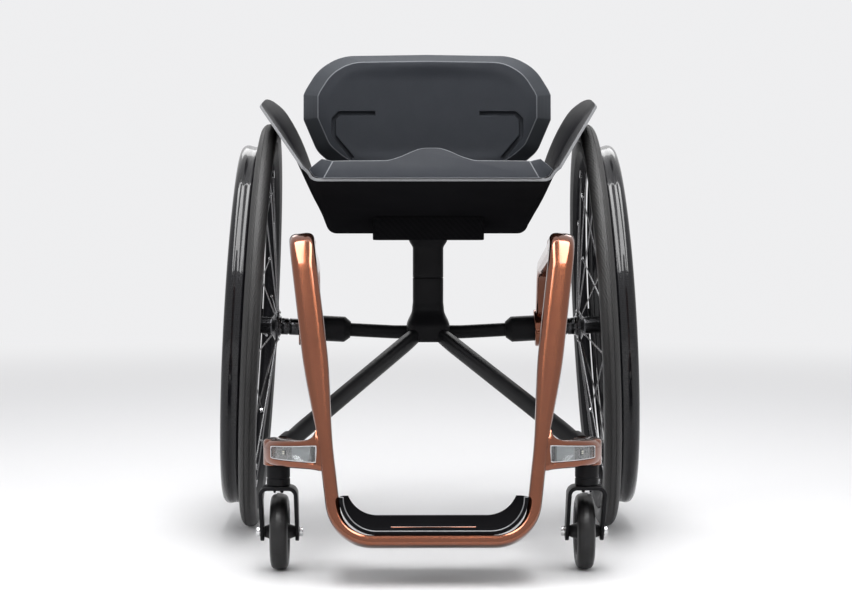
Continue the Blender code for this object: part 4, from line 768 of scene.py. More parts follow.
def hubProfile():
    inner, outer = hub["flangeX"] - hub["flangeHalf"], hub["flangeX"] + hub["flangeHalf"]
    half = [
        (inner - 0.006, hub["radius"] - 0.002, 0.004),
        (inner, hub["flangeRadius"], 0.0012),
        (outer, hub["flangeRadius"], 0.0012),
        (outer, hub["radius"], 0.0010),
        (hub["half"], hub["radius"], 0.0012),
        (hub["half"], hub["bore"], 0.0003),
    ]
    return roundedLine(bothSides(half))


def spokeRun(angle, flangeSide):
    # where one spoke starts at its flange and where it meets the rim
    outward = Vector((0, math.cos(angle), math.sin(angle)))
    start = Vector((flangeSide * hub["flangeX"], 0, 0)) + outward * (hub["flangeRadius"] - spoke["inset"])
    end = Vector((flangeSide * spoke["rimX"], 0, 0)) + outward * (wheelRadius - wheel["rimInner"])
    return start, end


def rodShape(start, end, radius, tip):
    bm = bmesh.new()
    along = end - start
    turn = Vector((0, 0, 1)).rotation_difference(along).to_matrix().to_4x4()
    bmesh.ops.create_cone(bm, cap_ends=True, segments=spoke["sides"], radius1=radius, radius2=tip,
                          depth=along.length, matrix=Matrix.Translation((start + end) / 2) @ turn)
    return bm


def makeWheel(side, word):
    place = axlePlace(side)
    body = "rear_wheel_" + word
    steps = wheel["steps"]
    newPiece("tyre_" + word, spunShape(tyreProfile(), steps, place), body,
             tyreRubber(side, word), "rear_tyre_" + word)
    newPiece("rim_" + word, spunShape(rimProfile(), steps, place), body, carbon,
             "rear_rim_" + word)
    tabs = gathered(pushrimTab(i) for i in range(pushrim["tabs"]))
    grip = cutAndJoined(spunShape(pushrimProfile(), steps), [("UNION", tabs)])
    grip.transform(place)
    newPiece("push_rim_" + word, grip, body, glossCarbon(side, word), "pushrim_" + word,
             sharp=50)
    newPiece("hub_shell_" + word, spunShape(hubProfile(), 64, place), body, darkSteel,
             "hub_and_spokes_" + word)
    wires, nipples = [], []
    for i in range(spoke["count"]):
        start, end = spokeRun(math.tau * (i + 0.5) / spoke["count"], side if i % 2 else -side)
        along = (end - start).normalized()
        shoulder = end - along * spoke["nippleLength"]
        wires.append(rodShape(start, shoulder, spoke["radius"], spoke["radius"]))
        sideways = Vector((math.copysign(1, start.x), 0, 0))
        head = start + sideways * (hub["flangeHalf"] + spoke["headLift"])
        headEnd = head + sideways * spoke["headLength"]
        wires.append(rodShape(head, headEnd, spoke["headRadius"], spoke["radius"]))
        wide = spoke["nippleRadius"]
        nipples.append(rodShape(shoulder, end, wide, wide * spoke["nippleTip"]))
    for name, shapes, tone in (("spoke_wires_", wires, spokeSteel), ("spoke_nipples_", nipples, steel)):
        bm = gathered(shapes)
        bm.transform(place)
        newPiece(name + word, bm, body, tone)


def makeAxle(side, word):
    # quick-release axle with its button
    place = axlePlace(side)
    inner, chamfer, radius = release["inner"], release["chamfer"], release["radius"]
    headRadius, button = release["headRadius"], release["button"]
    headStart = hub["half"] + fit
    headEnd = headStart + release["head"]
    buttonEnd = headEnd + release["stand"]
    buttonStart = buttonEnd - release["buttonLength"]
    pocket = buttonStart - release["travel"] - fit
    axle = roundedLine([
        (inner, 0, 0), (inner, radius - chamfer, 0), (inner + chamfer, radius, 0.001),
        (headStart, radius, 0.0004), (headStart, headRadius, 0.0008), (headEnd, headRadius, 0.0014),
        (headEnd, button + fit, 0.0006), (pocket, button + fit, 0), (pocket, 0, 0),
    ], closed=False)
    newPiece("release_axle_" + word, spunShape(axle, 48, place), "chassis", steel,
             "quick_release_axle_" + word)
    cap = roundedLine([
        (buttonStart, 0, 0), (buttonStart, button, 0.0004), (buttonEnd, button, 0.0016),
        (buttonEnd + release["dome"], 0, 0),
    ], closed=False, steps=6)
    newPiece("release_button_cap_" + word, spunShape(cap, 32, place), "release_button_" + word,
             steel, "quick_release_button_" + word)


for side, word in sideWords:
    makeWheel(side, word)
    makeAxle(side, word)
print("rear wheels are ready")


# camber tube, sleeves and receivers

beam = {"radius": 0.010, "flat": 0.050, "bend": 0.200, "sleeve": 0.019, "sleeveInner": 0.1335, "cone": 0.009,
        "tip": 0.0118, "receiver": 0.0125, "ring": (0.012, 0.010, 0.0012), "shank": 0.0435,
        "hole": 0.00665, "clampMiddle": 0.074, "clampWidth": 0.033, "clampRadius": 0.0275}
beamZ = axleLineZ(beam["flat"])
sleeveOuter = beam["clampMiddle"] - beam["clampWidth"] / 2 - fit


def makeBeam():
    receiverInner = sleeveOuter - fit + beam["shank"]
    endX = wheelX - receiverInner * math.cos(camber)
    right = [(beam["flat"], axleY, beamZ), (endX, axleY, axleLineZ(endX))]
    path = bentPath([acrossX(p) for p in reversed(right)] + right, [beam["bend"]] * 2, 6, 0.02)
    rings = sweptRings(path, [(2 * beam["radius"],) * 2] * len(path), (0, 0, 1), len(path) // 2, 40, 2)
    newPiece("cross_beam", loftedShape(rings), "chassis", black, "camber_tube")
    for side, word in sideWords:
        place = axlePlace(side)
        inner, outer, bore = -beam["sleeveInner"], -sleeveOuter, beam["radius"] + fit
        sleeve = roundedLine([
            (inner, beam["tip"], 0.0008), (inner + beam["cone"], beam["sleeve"], 0.004),
            (outer, beam["sleeve"], 0.0012), (outer, bore, 0.0003), (inner, bore, 0.0003),
        ], steps=5)
        newPiece("beam_sleeve_" + word, spunShape(sleeve, 64, place), "chassis", black,
                 "axle_sleeve_" + word)
        start, end, hole, wide = outer + fit, -hub["half"] - fit, beam["hole"], beam["receiver"]
        ringStart, ringEnd, ringDepth = beam["ring"]
        receiver = roundedLine([
            (-receiverInner, beam["radius"], 0.0006), (start, beam["radius"], 0.0005), (start, wide, 0.0012),
            (end - ringStart, wide, 0.0006), (end - ringStart, wide - ringDepth, 0.0004),
            (end - ringEnd, wide - ringDepth, 0.0004), (end - ringEnd, wide, 0.0006),
            (end, wide, 0.0012), (end, hole, 0.0005), (-receiverInner, hole, 0.0005),
        ])
        newPiece("axle_socket_" + word, spunShape(receiver, 56, place), "chassis", darkSteel,
                 "axle_receiver_" + word)


makeBeam()
print("cross beam is ready")


# front frame and side rails

tube = {
    "toe": (0.1238, -0.565, 0.0575), "knee": (0.1732, -0.432, 0.4402), "toeBend": 0.051, "kneeBend": 0.045,
    "joint": -0.366, "fall": 0.142, "kneeSize": (0.0335, 0.025), "shinSize": (0.0186, 0.027),
    "barSize": (0.0145, 0.028), "taperTop": 0.300, "taperLow": 0.160, "square": 3.3, "count": 48,
    "piece": 0.008,
}
rail = {"bendReach": -0.072, "bend": 0.060, "depth": 0.022, "width": 0.029, "blend": 0.09}
rake = math.atan2(tube["knee"][1] - tube["toe"][1], tube["knee"][2] - tube["toe"][2])


def tubeSize(z, front):
    if not front or z >= tube["taperTop"]:
        return tube["kneeSize"]
    if z >= tube["taperLow"]:
        share = eased((tube["taperTop"] - z) / (tube["taperTop"] - tube["taperLow"]))
        return between(tube["kneeSize"], tube["shinSize"], share)
    share = eased((tube["toe"][2] + tube["toeBend"] - z) / tube["toeBend"])
    return between(tube["shinSize"], tube["barSize"], share)


def makeFrontFrame():
    toe, knee = Vector(tube["toe"]), Vector(tube["knee"])
    joint = Vector((knee.x, tube["joint"], knee.z - (tube["joint"] - knee.y) * tube["fall"]))
    corners = [Vector((0, toe.y, toe.z)), toe, knee, joint]
    half = bentPath(corners, [tube["toeBend"], tube["kneeBend"]], 14, tube["piece"])
    path = [acrossX(p) for p in reversed(half[1:])] + half
    sizes = [tubeSize(p.z, p.y < knee.y + tube["kneeBend"] / 2 and p.z < knee.z) for p in path]
    normal = (0, -math.cos(rake), math.sin(rake))
    rings = sweptRings(path, sizes, normal, len(half) - 1, tube["count"], tube["square"])
    bm = loftedShape(rings)
    bmesh.ops.translate(bm, vec=(0, axleY, 0), verts=bm.verts)
    newPiece("leg_loop", bm, "chassis", copper, "front_frame", sharp=50)


def makeRail(side, word):
    knee = Vector(tube["knee"])
    clampX = wheelX - beam["clampMiddle"] * math.cos(camber)
    jointZ = knee.z - (tube["joint"] - knee.y) * tube["fall"]
    corners = [
        (knee.x, tube["joint"] + fit, jointZ),
        (knee.x, rail["bendReach"], jointZ - (rail["bendReach"] - tube["joint"]) * tube["fall"]),
        (clampX, 0, axleLineZ(clampX) + beam["radius"]),
    ]
    path = bentPath(corners, [rail["bend"]], 14, tube["piece"])
    width, depth = tube["kneeSize"]
    sizes = [(between(width, rail["width"], eased(i * tube["piece"] / rail["blend"])),
              between(depth, rail["depth"], eased(i / 3))) for i in range(len(path))]
    rings = [[onSide(side, *p) for p in ring]
             for ring in sweptRings(path, sizes, (0, 0, 1), 0, tube["count"], tube["square"])]
    inner = -beam["clampMiddle"] - beam["clampWidth"] / 2
    outer = inner + beam["clampWidth"]
    bore = beam["sleeve"] + fit
    boss = roundedLine([(inner, bore, 0.0006), (inner, beam["clampRadius"], 0.0022),
                        (outer, beam["clampRadius"], 0.0022), (outer, bore, 0.0006)])
    hole = [(inner - 0.01, 0), (inner - 0.01, bore), (outer + 0.01, bore), (outer + 0.01, 0)]
    place = axlePlace(side)
    bm = cutAndJoined(loftedShape(rings),
                      [("DIFFERENCE", spunShape(hole, 64, place)), ("UNION", spunShape(boss, 64, place))])
    newPiece("rail_" + word, bm, "chassis", copper, "side_rail_" + word, sharp=50)


makeFrontFrame()
for side, word in sideWords:
    makeRail(side, word)
print("frame is ready")


# caster arms with their lights, and the struts that brace them

arm = {"rootZ": 0.1625, "height": 0.035, "rootDepth": 0.021, "barrel": 0.0195, "first": (0.026, 0.006),
       "second": (-0.010, -0.034), "steps": 40, "count": 48, "square": 4.0, "skin": 0.010,
       "flareTop": 0.015, "flareLow": 0.0015, "flareSide": 0.0015, "rise": 0.0025, "flareFade": 0.0065}
window = {"start": 0.12, "end": 0.815, "z": 0.1668, "fall": 0.0020, "tall": 0.0226, "low": 0.0162,
          "depth": 0.0095, "corner": 0.05, "round": 0.0012, "lens": 0.0026, "board": 0.0016, "led": 0.74,
          "guide": (0.14, 0.53), "guideDepth": 0.0036, "driver": (0.0, 0.115), "driverDepth": 0.0045,
          "bezel": 0.0011, "above": -0.003, "rebate": 0.0042, "perMetre": 12}
led = {"case": 0.0054, "caseThick": 0.0016, "die": 0.0016, "dieThick": 0.0008, "apart": 0.0011,
       "lift": 0.0019}
stem = Vector((0.203, -0.465, 0))
strut = {"slim": (0.016, 0.021), "full": (0.018, 0.024), "top": (0.0125, -0.018, 0.0013), "short": 0.0175,
         "lift": 0.006, "socket": 0.020, "wall": 0.003, "chamfer": 0.0012, "pieces": 24, "count": 40,
         "square": 2.8}


def armSpot(t):
    # a point of the arm's middle line seen from above, the way out to its front skin, and how far
    # it is from the root
    toe, knee = Vector(tube["toe"]), Vector(tube["knee"])
    share = (arm["rootZ"] - toe.z) / (knee.z - toe.z)
    root = toe.lerp(knee, share).to_2d()
    end = stem.to_2d()
    first = root + Vector(arm["first"])
    second = end + Vector(arm["second"])
    point = curveSpot(root, first, second, end, t)
    u = 1 - t
    tangent = (first - root) * 3 * u * u + (second - first) * 6 * u * t + (end - second) * 3 * t * t
    tangent.normalize()
    return point, Vector((tangent.y, -tangent.x)), (point - root).length


def armDepth(t):
    return between(arm["rootDepth"], 2 * arm["barrel"], eased(t))


def armRings(side):
    toe, knee = Vector(tube["toe"]), Vector(tube["knee"])
    lean = (knee - toe).to_2d() / (knee.z - toe.z)
    rings = []
    for i in range(arm["steps"] + 1):
        t = (i / arm["steps"]) ** 1.4
        point, outward, far = armSpot(t)
        flare = math.exp(-max(0.0, far - arm["skin"]) / arm["flareFade"])
        ring = []
        height = arm["height"] + arm["rise"] * (1 - t)
        for a, b in section(armDepth(t) + 2 * arm["flareSide"] * flare, height, arm["count"], arm["square"]):
            lift = 2 * b / height
            z = arm["rootZ"] + arm["rise"] * (1 - t) + b
            z += (arm["flareTop"] * lift ** 3 if b > 0 else arm["flareLow"] * lift) * flare
            spot = point + outward * a + lean * (z - arm["rootZ"]) * max(0.0, 1 - 3 * t)
            ring.append(onSide(side, *spot, z))
        rings.append(ring)
    return rings


def windowZ(t):
    return window["z"] - window["fall"] * (t - window["start"]) / (window["end"] - window["start"])


def windowBand(side, outer, inner, trim, widen=0.0, span=(0.0, 1.0), count=26):
    # a band along the arm's front skin, between two depths below it, with rounded ends
    rings = []
    first, last = window["start"] + trim * window["perMetre"], window["end"] - trim * window["perMetre"]
    for k in range(count + 1):
        share = 0.5 - 0.5 * math.cos(math.pi * k / count)
        t = between(first, last, between(*span, share))
        point, outward, far = armSpot(t)
        skin = armDepth(t) / 2
        half = between(window["tall"], window["low"], (t - first) / (last - first)) / 2 - trim
        near = min(t - first, last - t) / window["corner"]
        half -= window["round"] * (1 - math.sqrt(max(0.0, 1 - max(0.0, 1 - near) ** 2)))
        ring = []
        for depth, height in ((outer, half + widen), (inner, half), (inner, -half), (outer, -half - widen)):
            spot = point + outward * (skin - depth)
            ring.append(onSide(side, *spot, windowZ(t) + height))
        rings.append(ring)
    return loftedShape(rings)


def stemPlace(side):
    # local X points up along the caster stem
    return Matrix.Translation(onSide(side, *stem)) @ Matrix.Rotation(-math.pi / 2, 4, "Y")


def strutEnds(side):
    top = Vector((strut["top"][0], strut["top"][1], beamZ + strut["top"][2]))
    foot = Vector((stem.x, stem.y, arm["rootZ"]))
    flat = Vector((foot.x - top.x, foot.y - top.y, 0)).normalized()
    end = foot - flat * strut["short"] + Vector((0, 0, strut["lift"]))
    return [onSide(side, *p) for p in (top, end)]


def strutShape(path, sizes):
    return loftedShape(sweptRings(path, sizes, (0, 0, 1), 0, strut["count"], strut["square"]))


def makeArm(side, word):
    low, high = arm["rootZ"] - arm["height"] / 2, arm["rootZ"] + arm["height"] / 2
    barrel = roundedLine([(low, 0, 0), (low, arm["barrel"], 0.0015), (high, arm["barrel"], 0.0050),
                          (high, 0, 0)], closed=False, steps=7)
    start, end = strutEnds(side)
    along = (end - start).normalized()
    size = tuple(s + 2 * strut["wall"] for s in strut["slim"])
    slim = tuple(s - 2 * strut["chamfer"] for s in size)
    mouth = end - along * strut["socket"]
    socket = strutShape([mouth, mouth + along * strut["chamfer"], end], [slim, size, size])
    for face in socket.faces:
        face.material_index = 1
    bm = cutAndJoined(loftedShape(armRings(side)), [
        ("UNION", spunShape(barrel, 72, stemPlace(side))),
        ("UNION", socket),
        ("DIFFERENCE", windowBand(side, window["above"], window["depth"], 0.0)),
        ("DIFFERENCE", windowBand(side, window["above"], window["bezel"], 0.0, window["rebate"])),
    ])
    newPiece("light_arm_" + word, bm, "chassis", [copper, black], "caster_arm_" + word,
             sharp=34)
    lens = softened(windowBand(side, 2 * fit, fit + window["lens"], fit), 0.0005, 60)
    newPiece("lamp_glass_" + word, lens, "chassis", lensClear, "light_lens_" + word, sharp=40)
    board = windowBand(side, window["depth"] - fit - window["board"], window["depth"] - fit, 0.0008)
    newPiece("lamp_board_" + word, board, "chassis", boardTone, "light_board_" + word,
             sharp=30)
    bezel = cutAndJoined(windowBand(side, -0.0002, 0.0006, 0.0),
                         [("DIFFERENCE", windowBand(side, window["above"], 0.003, window["bezel"]))])
    newPiece("lamp_bezel_" + word, bezel, "chassis", steel, sharp=30)
    t = between(window["start"], window["end"], window["led"])
    point, outward, far = armSpot(t)
    spot = point + outward * (armDepth(t) / 2 - window["depth"] + fit + window["board"])
    place = Matrix.Translation(onSide(side, *spot, windowZ(t)))
    turn = place @ Matrix.Rotation(math.atan2(side * outward.x, -outward.y), 4, "Z")
    case, thick, die, apart = led["case"], led["caseThick"], led["die"], led["apart"]
    newPiece("led_case_" + word, boxShape((case, thick, case), (0, -thick / 2, 0), 0.0003, turn), "chassis",
             plastic)
    dice = [boxShape((die, led["dieThick"], die), (apart * a, -led["lift"], apart * b), 0.0002, turn)
            for a in (-1, 1) for b in (-1, 1)]
    newPiece("led_" + word, gathered(dice), "chassis", ledTone)
    low = window["depth"] - fit - window["board"]
    guide = windowBand(side, window["guideDepth"], low, 0.0012, span=window["guide"])
    guide = softened(guide, 0.0004, 60)
    newPiece("light_guide_" + word, guide, "chassis", guideTone, sharp=30)
    driver = windowBand(side, window["driverDepth"], low, 0.0010, span=window["driver"], count=8)
    driver = softened(driver, 0.0003, 60)
    newPiece("lamp_driver_" + word, driver, "chassis", plastic, sharp=30)


def makeStrut(side, word):
    start, end = strutEnds(side)
    count = strut["pieces"]
    path = [start.lerp(end, i / count) for i in range(count + 1)]
    sizes = [between(strut["slim"], strut["full"], eased(min(i, count - i) / 3)) for i in range(count + 1)]
    bm = strutShape(path, sizes)
    newPiece("brace_" + word, bm, "chassis", black, "strut_" + word, sharp=50)


for side, word in sideWords:
    makeArm(side, word)
    makeStrut(side, word)
print("caster arms are ready")


# casters

caster = {"radius": 0.0508, "half": 0.0122, "hub": 0.037, "trail": 0.040, "steps": 96, "forkWidth": 0.0515,
          "wall": 0.005, "top": 0.1172, "corner": 0.012, "crown": 0.018, "eye": 0.0125, "bolt": 0.0065,
          "stem": 0.004, "stemHead": (0.0070, 0.0045), "nut": (0.0065, 0.006), "nutLift": 0.014,
          "boss": 0.0072, "web": (0.0050, 0.0130, 0.0300), "rim": (0.0110, 0.0325), "rimSoft": 0.0012}
housing = {"radius": 0.0155, "bearing": (0.0113, 0.010), "bore": (0.008, 0.018), "shank": (0.012, 0.026),
           "groove": (0.0090, 0.0098, 0.0106, 0.0114), "grooveDepth": 0.0008}


def makeHousing(side, word):
    foot = caster["top"] + fit
    top = arm["rootZ"] - arm["height"] / 2 - fit
    # radii with how far they reach: the bearing's seat from the foot, the others from the top
    bearing, seat = housing["bearing"]
    (bore, boreEnd), (shank, shankEnd) = housing["bore"], housing["shank"]
    wide = housing["radius"]
    inner = wide - housing["grooveDepth"]
    lip, floor, floorEnd, lipEnd = (foot + reach for reach in housing["groove"])
    profile = roundedLine([
        (top + boreEnd, 0, 0), (top + boreEnd, bore, 0), (foot + seat, bore, 0),
        (foot + seat, bearing, 0.0003), (foot, bearing, 0.0003), (foot, wide, 0.0014), (lip, wide, 0.0005),
        (floor, inner, 0.0003), (floorEnd, inner, 0.0003), (lipEnd, wide, 0.0005), (top, wide, 0.0012),
        (top, shank, 0.0004), (top + shankEnd, shank, 0.001), (top + shankEnd, 0, 0),
    ], closed=False)
    newPiece("swivel_housing_" + word, spunShape(profile, 64, stemPlace(side)), "chassis",
             black, "caster_housing_" + word)


def forkShape():
    # front view pushed through, cut to the side view, about the stem's foot
    half, wall, top, corner = caster["forkWidth"] / 2, caster["wall"], caster["top"], caster["corner"]
    inner, crown, inside = half - wall, top - wall, corner - wall
    outline = [(half, 0.02)] + arc((half - corner, top - corner), corner, 0, 90, 10)
    outline += arc((corner - half, top - corner), corner, 90, 180, 10) + [(-half, 0.02), (-inner, 0.02)]
    outline += arc((inside - inner, crown - inside), inside, 180, 90, 7)
    outline += arc((inner - inside, crown - inside), inside, 90, 0, 7) + [(inner, 0.02)]
    profile = [(-caster["crown"], top + 0.01), (-caster["crown"], top - 0.012)]
    profile += arc((caster["trail"], caster["radius"]), caster["eye"], 200, 370, 22)
    profile += [(caster["crown"] + 0.004, top - 0.014), (caster["crown"], top + 0.01)]
    sideView = prismShape(profile, -0.04, 0.04, "X")
    return cutAndJoined(prismShape(outline, -0.05, 0.09, "Y"), [("INTERSECT", sideView)])


def makeCaster(side, word):
    body, roller = "caster_swivel_" + word, "caster_roller_" + word
    foot = Matrix.Translation(onSide(side, *stem))
    fork = softened(forkShape(), 0.0010, 40, 3)
    fork.transform(foot)
    newPiece("fork_" + word, fork, body, black, "caster_fork_" + word, sharp=35)
    crown, nut = caster["top"] - caster["wall"], caster["top"] + fit + caster["nutLift"]
    (head, headTall), (nutWide, nutTall) = caster["stemHead"], caster["nut"]
    bolt = roundedLine([
        (crown - headTall, 0, 0), (crown - headTall, head, 0.0016), (crown - fit, head, 0.0004),
        (crown - fit, caster["stem"], 0), (nut, caster["stem"], 0), (nut, nutWide, 0.0004),
        (nut + nutTall, nutWide, 0.0012), (nut + nutTall, 0, 0),
    ], closed=False)
    newPiece("stem_bolt_" + word, spunShape(bolt, 40, stemPlace(side)), body, steel,
             "caster_stem_bolt_" + word)
    wheelPlace = foot @ Matrix.Translation((0, caster["trail"], caster["radius"]))
    profile = boltLine(caster["forkWidth"] / 2 + fit, 0.005, 0.0026, 0.0024, caster["bolt"], 0.0014,
                       caster["stem"])
    newPiece("roller_bolt_" + word, spunShape(profile, 40, wheelPlace), body, steel,
             "caster_axle_bolt_" + word)
    boss = caster["forkWidth"] / 2 - caster["wall"] - fit
    (web, webInner, webOuter), (rim, rimInner) = caster["web"], caster["rim"]
    profile = roundedLine(bothSides([
        (boss, caster["stem"] + fit, 0.0002), (boss, caster["boss"], 0.0008), (web, webInner, 0.003),
        (web, webOuter, 0.003), (rim, rimInner, caster["rimSoft"]), (rim, caster["hub"], 0.0004),
    ]))
    newPiece("roller_core_" + word, spunShape(profile, caster["steps"], wheelPlace), roller,
             plastic, "caster_wheel_" + word)
    radius = caster["radius"]
    profile = roundedLine(bothSides([
        (caster["half"] - 0.0007, caster["hub"] + fit, 0.0004), (caster["half"], radius - 0.0095, 0.003),
        (caster["half"] - 0.0020, radius - 0.0024, 0.006), (0.0030, radius, 0.008),
    ]), steps=7)
    newPiece("roller_tyre_" + word, spunShape(profile, caster["steps"], wheelPlace), roller,
             smallTyre, "caster_tyre_" + word)


for side, word in sideWords:
    makeHousing(side, word)
    makeCaster(side, word)
print("casters are ready")


# footplate

plate = {"top": 0.0725, "wall": 0.006, "front": -0.571, "rear": -0.424, "flat": 0.073, "bend": 0.042,
         "wingFront": 0.1162, "wingRear": 0.0985, "stripHalf": 0.055, "stripWidth": 0.004,
         "stripReach": -0.540, "stripThick": 0.0024, "stripSunk": 0.0004, "groove": 0.0032, "soft": 0.0012}


def makeFootplate():
    centre = (plate["flat"], plate["top"] + plate["bend"])
    top = [(plate["flat"], plate["top"])] + arc(centre, plate["bend"], -86, 2, 18)
    under = [(plate["flat"], plate["top"] - plate["wall"])]
    under += arc(centre, plate["bend"] + plate["wall"], -86, 2, 18)
    outline = top + list(reversed(under)) + [(-x, z) for x, z in under] + [(-x, z) for x, z in reversed(top)]
    front, rear = axleY + plate["front"], axleY + plate["rear"]
    slope = (plate["wingRear"] - plate["wingFront"]) / (rear - front)
    above = plate["top"] + 2 * plate["bend"]
    reach = 0.02
    wings = [(front - reach, plate["wingFront"] - slope * reach),
             (rear + reach, plate["wingRear"] + slope * reach), (rear + reach, above), (front - reach, above)]
    groove = boxShape((2 * plate["stripHalf"] + 2 * fit, plate["stripWidth"] + 2 * fit, plate["groove"]),
                      (0, axleY + plate["stripReach"], plate["top"]), 0)
    bm = softened(prismShape(outline, front, rear, "Y"), plate["soft"], 40, 3)
    bm = cutAndJoined(bm, [("DIFFERENCE", prismShape(wings, -0.2, 0.2, "X")), ("DIFFERENCE", groove)])
    bm.normal_update()
    for face in bm.faces:
        # the rounded edge along the tray's front and up the insides of its wings, which takes the pale edge
        # tone as a painted highlight
        spot, facing = face.calc_center_median(), face.normal
        inside = facing.z > 0.05 or facing.x * spot.x < 0
        if spot.y < front + plate["soft"] + 0.0001 and -0.97 < facing.y < -0.2 and inside:
            face.material_index = 1
    newPiece("foot_tray", bm, "chassis", [dull, edgeHighlightTone], "footplate", sharp=35)
    strip = boxShape((2 * plate["stripHalf"], plate["stripWidth"], plate["stripThick"]),
                     (0, axleY + plate["stripReach"], plate["top"] - plate["stripSunk"]), 0.0006)
    newPiece("tray_strip", strip, "chassis", copper, "footplate_strip")


makeFootplate()
print("footplate is ready")


# column under the seat

column = {"width": 0.0455, "seam": beamZ + 0.0818, "foot": beamZ - 0.0127, "footWidth": 0.064, "front": 0.045,
          "back": 0.026, "count": 56, "square": 5.0, "rings": 6, "earLength": 0.013, "earWidth": 0.024,
          "earHeight": 0.020, "slit": 0.002, "screw": 0.0042, "spigot": 0.016, "plateHalf": 0.082,
          "plateReach": 0.060, "plateZ": 0.428, "plateCorner": 0.012}


def columnRing(width, front, back, z):
    outline = section(width, front + back, column["count"], column["square"])
    return [Vector((a, axleY + b + (back - front) / 2, z)) for a, b in outline]


def columnRings(keys):
    # keys are (width, front, back, z); the sizes ease from one to the next
    rings = []
    for low, high in zip(keys, keys[1:]):
        for i in range(column["rings"]):
            share = i / column["rings"]
            sizes = between(low[:3], high[:3], eased(share))
            rings.append(columnRing(*sizes, between(low[3], high[3], share)))
    rings.append(columnRing(*keys[-1]))
    return rings


def makeColumn():
    half = column["width"] / 2
    wide, front, back = column["footWidth"], column["front"], column["back"]
    top = column["seam"] - fit
    keys = [
        (wide - 0.007, front - 0.0035, back - 0.0035, column["foot"]),
        (wide, front, back, column["foot"] + 0.0035),
        (wide, front, back, beamZ + 0.010),
        (column["width"] + 0.002, half + 0.002, half + 0.001, beamZ + 0.034),
        (column["width"], half, half, beamZ + 0.046),
        (column["width"], half, half, top - 0.0010),
        (column["width"] - 0.0016, half - 0.0008, half - 0.0008, top),
    ]
    earZ = top - 0.002 - column["earHeight"] / 2
    earY = axleY + half + (column["earLength"] - 0.004) / 2
    ears = boxShape((column["earWidth"], column["earLength"] + 0.004, column["earHeight"]), (0, earY, earZ),
                    0.0018)
    screwY, slitTall = axleY + half + column["earLength"] / 2, column["earHeight"] + 0.012
    slit = boxShape((column["slit"], column["earLength"] + 0.02, slitTall),
                    (0, screwY, top + 0.002 - slitTall / 2), 0)
    bm = cutAndJoined(loftedShape(columnRings(keys)), [("UNION", ears), ("DIFFERENCE", slit)])
    newPiece("column_foot", bm, "chassis", black, "column_base", sharp=34)
    profile = boltLine(column["earWidth"] / 2 + fit, 0.004, 0.0022, 0.0020, column["screw"], 0.0010, 0.0025)
    screw = spunShape(profile, 32, Matrix.Translation((0, screwY, earZ)))
    newPiece("pinch_screw", screw, "chassis", steel, "post_clamp_screw")

    spigot, plateZ = column["spigot"], column["plateZ"]
    keys = [
        (2 * spigot, spigot, spigot, column["seam"] - 0.060),
        (2 * spigot, spigot, spigot, column["seam"] - 0.0001),
        (column["width"] - 0.0016, half - 0.0008, half - 0.0008, column["seam"]),
        (column["width"], half, half, column["seam"] + 0.0010),
        (column["width"], half, half, plateZ - 0.014),
        (column["width"] + 0.012, half + 0.006, half + 0.006, plateZ - fit),
    ]
    newPiece("seat_pillar", loftedShape(columnRings(keys)), "seat", black, "seat_post",
             sharp=34)
    corner, outline = column["plateCorner"], []
    across, along = column["plateHalf"] - corner, column["plateReach"] - corner
    for sx, sy, start in ((1, -1, -90), (1, 1, 0), (-1, 1, 90), (-1, -1, 180)):
        outline += arc((sx * across, sy * along), corner, start, start + 90, 8)
    rings = [[Vector((x, axleY + y, floorZ(y) - fit if lifted else plateZ)) for x, y in outline]
             for lifted in (False, True)]
    bm = softened(loftedShape(rings), 0.0014, 50, 3)
    newPiece("seat_bed", bm, "seat", dull, "seat_mount_plate", sharp=34)


# seat shell

shell = {"wall": 0.004, "front": -0.350, "rear": 0.100, "floorFront": (0.160, 0.5165),
         "floorRear": (0.149, 0.4335), "corner": 0.016, "lean": (0.35, 0.33), "belly": (0.475, 0.705),
         "edgeStart": (-0.350, 0.1757, 0.5335), "sideSteps": 16, "floorSteps": 8, "frontSteps": 26,
         "sweepSteps": 6, "soft": 0.0009}
# the guard's edge behind its straight front: distance behind the axle, X, height above the wheel's top
guardSweep = [(-0.060, 0.2470, 0.0228), (-0.035, 0.2455, 0.0303), (-0.010, 0.2425, 0.0338),
              (0.020, 0.2365, 0.0328), (0.045, 0.2290, 0.0278), (0.065, 0.2205, 0.0198),
              (0.082, 0.2120, 0.0068), (0.094, 0.2065, -0.0112), (0.100, 0.2040, -0.0312)]
onFloor = shell["wall"] * 1.02 + fit  # from the sloping floor's outer face up to what stands on it
guardPoints = [Vector(shell["edgeStart"])] + [Vector((y, x, 2 * axleZ + rise)) for y, x, rise in guardSweep]


def floorAt(y):
    # half the floor's width and its height
    share = (y - shell["front"]) / (shell["rear"] - shell["front"])
    return between(shell["floorFront"], shell["floorRear"], share)


def floorZ(y):
    return floorAt(y)[1]


def guardStations():
    # the straight front edge, then a smooth line through the swept points, each as (y, x, z)
    first, second = guardPoints[:2]
    stations = [first.lerp(second, i / shell["frontSteps"]) for i in range(shell["frontSteps"])]
    for i in range(1, len(guardPoints) - 1):
        before, here, there = guardPoints[i - 1], guardPoints[i], guardPoints[i + 1]
        after = guardPoints[min(i + 2, len(guardPoints) - 1)]
        span = (there - here).length
        leave = (there - before).normalized() * span
        arrive = (after - here).normalized() * span
        for k in range(shell["sweepSteps"]):
            t = k / shell["sweepSteps"]
            stations.append(here * (2 * t ** 3 - 3 * t * t + 1) + leave * (t ** 3 - 2 * t * t + t)
                            + there * (3 * t * t - 2 * t ** 3) + arrive * (t ** 3 - t * t))
    return stations + [guardPoints[-1]]


guardLine = guardStations()


